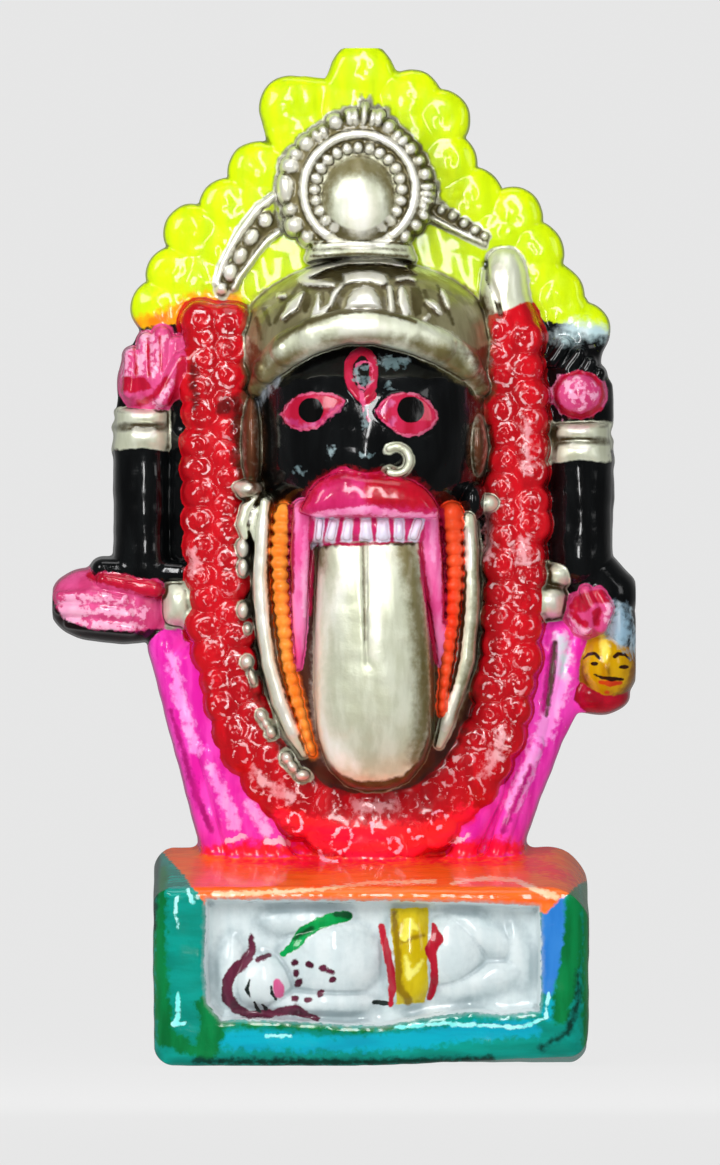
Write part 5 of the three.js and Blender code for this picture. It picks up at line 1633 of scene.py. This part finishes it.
def special_cover(margins, places, hollow):
    """Where the paints lie that follow the relief and not a drawn shape: the niche's white, painted shade in
    the hollows and along the crest's gold edge, and the bare back.
    """
    x, out, up = places.T.astype(np.float32)
    floor = PLINTH_DEPTH - NICHE_EDGE
    niche = np.minimum(-polygon(RECESS).distance(x, up), floor - out)
    owners = dict(margins, niche=niche)
    dark = {
        name: np.minimum(owners[name], (hollow - least) * sharp) for name, (least, sharp) in HOLLOWS.items()
    }
    crest = CREST_REACH - np.hypot(x - DISC_MIDDLE[0], up - DISC_MIDDLE[1])
    edge = np.minimum(margins["gold"] + OVERLAP, OUTLINE - margins["gold"])
    outline = np.minimum(edge, np.minimum(crest, up - DISC_GROUND_FOOT))
    return {
        "niche": niche,
        "niche_hollow_shade": dark["niche"],
        "halo_hollow_shade": dark["halo"],
        "gold_hollow_shade": np.maximum(dark["gold"], outline),
        "garland_hollow_shade": np.minimum(dark["garland"], (up - GARLAND_SHADE["foot"]) / GARLAND_SHADE["fade"]),
        "back": BACK_PAINT - out,
    }


def rose_fields(margins, places):
    """Each point's place on the rose that it lies on, and how far inside the rose's edge it is."""
    x, up = places[:, 0], places[:, 2]
    local = np.zeros((len(x), 3), np.float32)
    depth = np.full(len(x), -ROSE_RIM, np.float32)
    roses_at = np.array(rose_places())
    near = np.flatnonzero(margins["garland"] > -ROSE_RIM)
    aside = x[near, None] - roses_at[:, 0]
    above = up[near, None] - roses_at[:, 1]
    gaps = np.hypot(aside, above)
    own = gaps.argmin(axis=1)
    every = np.arange(len(near))
    local[near] = np.stack([aside[every, own], above[every, own], roses_at[own, 3]], axis=1)
    depth[near] = np.minimum(roses_at[own, 2] - gaps[every, own], margins["garland"][near] + ROSE_SPILL)
    return local, depth


def write_attribute(mesh, name, values, kind="FLOAT"):
    attribute = mesh.attributes.new(name, kind, "POINT")
    key = "value" if kind == "FLOAT" else "vector"
    attribute.data.foreach_set(key, np.clip(values, -FAR, FAR).astype(np.float32).ravel())


def linear(code):
    """A colour written as six hexadecimal digits, in linear light."""
    parts = [int(code[i:i + 2], 16) / 255 for i in (0, 2, 4)]
    return (*[c / 12.92 if c <= 0.04045 else ((c + 0.055) / 1.055) ** 2.4 for c in parts], 1.0)


class Shader:
    """Builds a material's nodes, whose inputs are numbers, colours or other nodes' outputs."""

    def __init__(self, name):
        self.material = bpy.data.materials.new(name)
        self.material.use_nodes = True
        self.tree = self.material.node_tree
        self.tree.nodes.clear()

    def node(self, kind, inputs=(), **settings):
        made = self.tree.nodes.new(kind)
        for key, value in settings.items():
            setattr(made, key, value)
        for key, value in dict(inputs).items():
            if isinstance(value, bpy.types.NodeSocket):
                self.tree.links.new(value, made.inputs[key])
            else:
                made.inputs[key].default_value = value
        return made

    def math(self, operation, first, second=0.0):
        return self.node("ShaderNodeMath", {0: first, 1: second}, operation=operation).outputs[0]

    def attribute(self, name, output="Fac"):
        return self.node("ShaderNodeAttribute", attribute_name=name).outputs[output]

    def noise(self, place, scale, detail=2.0, stretch=(1, 1, 1)):
        moved = self.node("ShaderNodeMapping", {"Vector": place, "Scale": stretch}).outputs[0]
        inputs = {"Vector": moved, "Scale": scale, "Detail": detail}
        return self.node("ShaderNodeTexNoise", inputs).outputs["Fac"]

    def step(self, value, low, high):
        inputs = {"Value": value, "From Min": low, "From Max": high}
        return self.node("ShaderNodeMapRange", inputs, interpolation_type="SMOOTHSTEP").outputs[0]

    def mix(self, share, first, second):
        return self.node("ShaderNodeMix", {0: share, 6: first, 7: second}, data_type="RGBA").outputs[2]


OVERLAP = 0.3 # squares that a paint runs over its neighbours' edges
PAINT_REACH = 2 # squares outside its owner that a drawn shape is still worked out
BACK_PAINT = 0.5 # how far round from the flat back the bare plaster shows
# Painted shade in each owner's hollows: the least hollow that is darkened, and how sharply the paint starts
# there.
HOLLOWS = dict(niche=(0.16, 6), halo=(0.4, 4), gold=(0.5, 4), garland=(0.6, 5))
GARLAND_SHADE = dict(foot=14, fade=3) # the garland's hollows stay bright below this height
ROSE_SPILL = 0.5
ROSE_RIM = 1 # squares round the garland in which points still take a rose's place
CAVITY_REACH = 1.5
# Pale broken spirals painted on the roses as highlights on their petals, with gaps in them.
SWIRL = dict(least=1.5, most=2.9, thin=0.2, wide=0.5, share=0.9, wander=3.6, scale=300.0, inside=(0.3, 1.1))
SWIRL_GAPS = dict(scale=620.0, noise=(0.46, 0.56), lumps=(0.34, 0.46))
SWIRL_HIGHLIGHT_COLOURS = ("e8808a", "ffd4d6")
RAG = dict(scale=620.0, detail=4.0)
BRUSH = dict(scale=260.0, detail=5.0)
BRUSH_STRETCH = (1.0, 1.0, 0.22)
CROSS_STRETCH = (0.2, 1.0, 1.0)
STREAKS = (0.35, 0.65) # where the brush's noise turns from a paint's first shade to its second
LUMPS = dict(scale=210.0, detail=3.0)
GRAIN = 1500.0
FIRST_FINISH = (0.3, 0.0, 0.0, 1.0) # roughness, metal and level strokes under all the paints
GLOSS = dict(least=0.7, lumps=0.6)
HEIGHT = dict(grain=0.12, strokes=0.3, swirls=0.5) # shares of the lumps' height
BUMP = {"Distance": 0.0006, "Strength": 0.5}
LACQUER = {"IOR": 1.5, "Specular IOR Level": 0.14, "Coat Weight": 0.5, "Coat Roughness": 0.07}


def swirls(shader, place, swirl_gaps):
    """A broken thin spiral on every rose of the garland, as a share from nought to one. It is painted pale
    as highlights on the petals, and raises their relief.
    """
    parts = shader.node("ShaderNodeSeparateXYZ", {"Vector": shader.attribute("rose_place", "Vector")})
    across, above, turn = parts.outputs
    flat = shader.node("ShaderNodeCombineXYZ", {"X": across, "Y": above})
    gap = shader.node("ShaderNodeVectorMath", {0: flat.outputs[0]}, operation="LENGTH").outputs["Value"]
    wander = shader.math("SUBTRACT", shader.noise(place, SWIRL["scale"]), 0.5)
    gap = shader.math("ADD", gap, shader.math("MULTIPLY", wander, SWIRL["wander"]))
    angle = shader.math("ADD", shader.math("ARCTAN2", above, across), turn)
    rounds = shader.math("FRACT", shader.math("DIVIDE", angle, 2 * math.pi))
    grown = shader.math("MULTIPLY", rounds, SWIRL["most"] - SWIRL["least"])
    reach = shader.math("ADD", SWIRL["least"], grown)
    away = shader.math("ABSOLUTE", shader.math("SUBTRACT", gap, reach))
    stroke = shader.step(away, SWIRL["wide"], SWIRL["thin"])
    inside = shader.step(shader.attribute("rose_depth"), *SWIRL["inside"])
    return shader.math("MULTIPLY", stroke, shader.math("MULTIPLY", inside, swirl_gaps))


def enamel(chosen):
    """A painted surface: each chosen paint is laid over the last where its attribute says that it lies.

    The two shades of the paints are laid side by side, and mixed by the brush's streaks at the end.
    """
    shader = Shader("enamel_and_gold_paint")
    place = shader.node("ShaderNodeTexCoord").outputs["Object"]
    rag = shader.math("SUBTRACT", shader.noise(place, RAG["scale"], RAG["detail"]), 0.5)
    lumps = shader.noise(place, LUMPS["scale"], LUMPS["detail"])
    flakes = shader.step(shader.noise(place, SWIRL_GAPS["scale"]), *SWIRL_GAPS["noise"])
    swirl_gaps = shader.math("MULTIPLY", flakes, shader.step(lumps, *SWIRL_GAPS["lumps"]))
    swirl = swirls(shader, place, swirl_gaps)
    shades = [linear(shade) for shade in paints()[0].shades]
    finish = FIRST_FINISH
    for paint in chosen:
        terms = {0: rag, 1: 2 * paint.ragged, 2: shader.attribute(paint.name)}
        ragged = shader.node("ShaderNodeMath", terms, operation="MULTIPLY_ADD")
        cover = shader.step(ragged.outputs[0], -paint.edge, paint.edge)
        shades = [shader.mix(cover, under, linear(shade)) for under, shade in zip(shades, paint.shades)]
        finish = shader.mix(cover, finish, (paint.rough, paint.metal, paint.level, 1.0))
        # The roses' spirals, painted pale over the garland as highlights on the petals.
        if paint.name == "garland_hollow_shade":
            part = shader.math("MULTIPLY", swirl, SWIRL["share"])
            shades = [shader.mix(part, under, linear(pale)) for under, pale in zip(shades, SWIRL_HIGHLIGHT_COLOURS)]
    parts = shader.node("ShaderNodeSeparateColor", {"Color": finish})
    own_rough, metal, is_level = parts.outputs
    upright = shader.noise(place, BRUSH["scale"], BRUSH["detail"], BRUSH_STRETCH)
    level_strokes = shader.noise(place, BRUSH["scale"], BRUSH["detail"], CROSS_STRETCH)
    turned_strokes = shader.math("MULTIPLY", shader.math("SUBTRACT", level_strokes, upright), is_level)
    streaks = shader.step(shader.math("ADD", upright, turned_strokes), *STREAKS)
    colour = shader.mix(streaks, *shades)
    grain = shader.noise(place, GRAIN)
    dulled = shader.math("ADD", GLOSS["least"], shader.math("MULTIPLY", lumps, GLOSS["lumps"]))
    rough = shader.math("MULTIPLY", own_rough, dulled)
    height = lumps
    for layer, share in ((grain, HEIGHT["grain"]), (upright, HEIGHT["strokes"]), (swirl, HEIGHT["swirls"])):
        height = shader.math("ADD", height, shader.math("MULTIPLY", layer, share))
    bump = shader.node("ShaderNodeBump", {"Height": height, **BUMP})
    surface = shader.node("ShaderNodeBsdfPrincipled", {
        "Base Color": colour, "Roughness": rough, "Metallic": metal, "Normal": bump.outputs[0], **LACQUER})
    shader.node("ShaderNodeOutputMaterial", {"Surface": surface.outputs[0]})
    return shader.material


def casting():
    """The painted casting, in pieces from its foot to its top that meet without a seam."""
    groups = layers()
    field = casting_field(groups)
    vertices, corners = casting_mesh(field)
    places = to_grid(vertices)
    normals = field.normals(places)
    outward = np.stack([normals[:, 0], -normals[:, 1], normals[:, 2]], axis=1)
    corners = facing_out(vertices, corners, outward)
    margins = ownership(groups, places)
    special = special_cover(margins, places, cavity(field, places, normals, CAVITY_REACH))
    margins["niche"] = special["niche"]
    x, up = places[:, 0].astype(np.float32), places[:, 2].astype(np.float32)
    covers = {}
    for paint in paints():
        own = special.get(paint.name)
        covers[paint.name] = covered(paint.sources, margins, x, up) if own is None else own
    local, depth = rose_fields(margins, places)
    order = np.argsort(vertices[corners].mean(axis=1)[:, 2], kind="stable")
    for name, chosen in zip(PARTS, np.array_split(order, len(PARTS))):
        used, own_corners = np.unique(corners[chosen], return_inverse=True)
        mesh = bpy.data.meshes.new(name)
        mesh.from_pydata(vertices[used].tolist(), [], own_corners.reshape(-1, 3).tolist())
        mesh.polygons.foreach_set("use_smooth", np.ones(len(mesh.polygons), bool))
        mesh.normals_split_custom_set_from_vertices(outward[used])
        lying = [paint for paint in paints() if covers[paint.name][used].max() > -paint.edge - paint.ragged]
        for paint in lying:
            write_attribute(mesh, paint.name, covers[paint.name][used])
        write_attribute(mesh, "rose_depth", depth[used])
        write_attribute(mesh, "rose_place", local[used], "FLOAT_VECTOR")
        mesh.materials.append(enamel(lying))
        piece = bpy.data.objects.new(name, mesh)
        bpy.context.scene.collection.objects.link(piece)
        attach(piece, "root")
        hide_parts(NODE)


# Stage: a floor that also lights the casting, a wide bowl behind it, soft lights, and the camera.
FLOOR = dict(half=3.0, front=-1.25, back=2.3)
BOWL = dict(radius=20.0, bend=6.0, tall=20.0, below=0.002, hole=0.05, steps=12, sides=64)
PAPER = dict(colour="363636", glow="e7e7e7", strength=0.99, grain=40.0, rough=0.85, uneven=0.1)
VIEW_MIDDLE = (-2.75, 120.1) # squares to the right of the middle and above the underside
VIEW_TALL = 291.25 # squares that the photograph's height takes in
LENS = 800.0
SENSOR = 36.0
CLIP = (0.05, 100.0)


def stage_paper():
    shader = Shader("stage_paper")
    place = shader.node("ShaderNodeTexCoord").outputs["Object"]
    grain = shader.noise(place, PAPER["grain"])
    rough = shader.math("ADD", PAPER["rough"], shader.math("MULTIPLY", grain, PAPER["uneven"]))
    surface = shader.node("ShaderNodeBsdfPrincipled", {
        "Base Color": linear(PAPER["colour"]), "Roughness": rough, "Specular IOR Level": 0.0,
        "Emission Color": linear(PAPER["glow"]), "Emission Strength": PAPER["strength"]})
    shader.node("ShaderNodeOutputMaterial", {"Surface": surface.outputs[0]})
    return shader.material


def stage_piece(name, points, faces, paper):
    mesh = bpy.data.meshes.new(name)
    mesh.from_pydata(points, [], faces)
    mesh.polygons.foreach_set("use_smooth", np.ones(len(mesh.polygons), bool))
    mesh.materials.append(paper)
    piece = bpy.data.objects.new(name, mesh)
    bpy.context.scene.collection.objects.link(piece)
    piece.visible_glossy = False
    return piece


def stage():
    """A plain pale floor, and a bowl far round it that only the camera sees."""
    paper = stage_paper()
    half, front, back = FLOOR["half"], FLOOR["front"], FLOOR["back"]
    corners = [(-half, front, 0), (half, front, 0), (half, back, 0), (-half, back, 0)]
    stage_piece("floor", corners, [(0, 1, 2, 3)], paper)
    flat, bend, below = BOWL["radius"] - BOWL["bend"], BOWL["bend"], BOWL["below"]
    profile = [(BOWL["hole"], -below)]
    for i in range(BOWL["steps"] + 1):
        turn = math.pi / 2 * i / BOWL["steps"]
        profile.append((flat + bend * math.sin(turn), bend * (1 - math.cos(turn)) - below))
    profile.append((BOWL["radius"], BOWL["tall"]))
    sides = BOWL["sides"]
    points, faces = [], []
    for ring, (radius, z) in enumerate(profile):
        for i in range(sides):
            x, y = ring_place(0, 0, radius, 360 * i / sides)
            points.append((x, y, z))
            if ring:
                here, after = ring * sides + i, ring * sides + (i + 1) % sides
                faces.append((here - sides, after - sides, after, here))
    bowl = stage_piece("bowl", points, faces, paper)
    bowl.visible_diffuse = False
    bowl.visible_shadow = False


LIGHTS = [
    dict(name="key", at=(-0.46, -0.56, 0.46), aim=(0, 0, 0.12), size=(0.22, 0.3), watts=2.5),
    dict(name="front", at=(0.0, -0.5, 0.34), aim=(0, 0, 0.12), size=(0.05, 0.44), watts=1.7),
    dict(name="right", at=(0.7, -0.5, 0.4), aim=(0, 0, 0.12), size=(0.2, 0.4), watts=0.7),
    dict(name="top", at=(0.0, -0.15, 0.9), aim=(0, 0, 0.1), size=(0.4, 0.3), watts=1.0),
]
SKY_FRONT = 0.08
SKY_BEHIND = 0.2
SKY_TURN = (0.1, 0.6) # how far backwards the air starts and ends turning pale


def lights():
    for light in LIGHTS:
        data = bpy.data.lights.new(light["name"], "AREA")
        data.shape = "RECTANGLE"
        data.size, data.size_y = light["size"]
        data.energy = light["watts"]
        lamp = bpy.data.objects.new(light["name"], data)
        bpy.context.scene.collection.objects.link(lamp)
        lamp.visible_camera = False
        place = Vector(light["at"])
        lamp.location = place
        lamp.rotation_mode = "QUATERNION"
        lamp.rotation_quaternion = (Vector(light["aim"]) - place).to_track_quat("-Z", "Y")


def sky():
    """Dim air in front of the casting, and paler air behind it, which its turned-away edges mirror."""
    world = bpy.data.worlds.new("studio")
    world.use_nodes = True
    nodes, links = world.node_tree.nodes, world.node_tree.links
    background = nodes["Background"]
    background.inputs["Color"].default_value = (1, 1, 1, 1)
    direction = nodes.new("ShaderNodeTexCoord")
    parts = nodes.new("ShaderNodeSeparateXYZ")
    strength = nodes.new("ShaderNodeMapRange")
    values = {"From Min": SKY_TURN[0], "From Max": SKY_TURN[1], "To Min": SKY_FRONT, "To Max": SKY_BEHIND}
    for name, value in values.items():
        strength.inputs[name].default_value = value
    links.new(direction.outputs["Generated"], parts.inputs[0])
    links.new(parts.outputs["Y"], strength.inputs["Value"])
    links.new(strength.outputs[0], background.inputs["Strength"])
    bpy.context.scene.world = world


def camera():
    data = bpy.data.cameras.new("camera")
    data.lens = LENS
    data.sensor_width = SENSOR
    data.clip_start, data.clip_end = CLIP
    eye = bpy.data.objects.new("camera", data)
    bpy.context.scene.collection.objects.link(eye)
    far = VIEW_TALL * SQUARE * LENS / SENSOR
    aim_at = HIGH.y - SLAB_OUT * SQUARE
    eye.location = (VIEW_MIDDLE[0] * SQUARE, aim_at - far, LOW.z + VIEW_MIDDLE[1] * SQUARE)
    eye.rotation_euler = (math.pi / 2, 0, 0)
    bpy.context.scene.camera = eye


casting()
stage()
lights()
sky()
camera()
bpy.context.scene.view_settings.view_transform = "Standard"
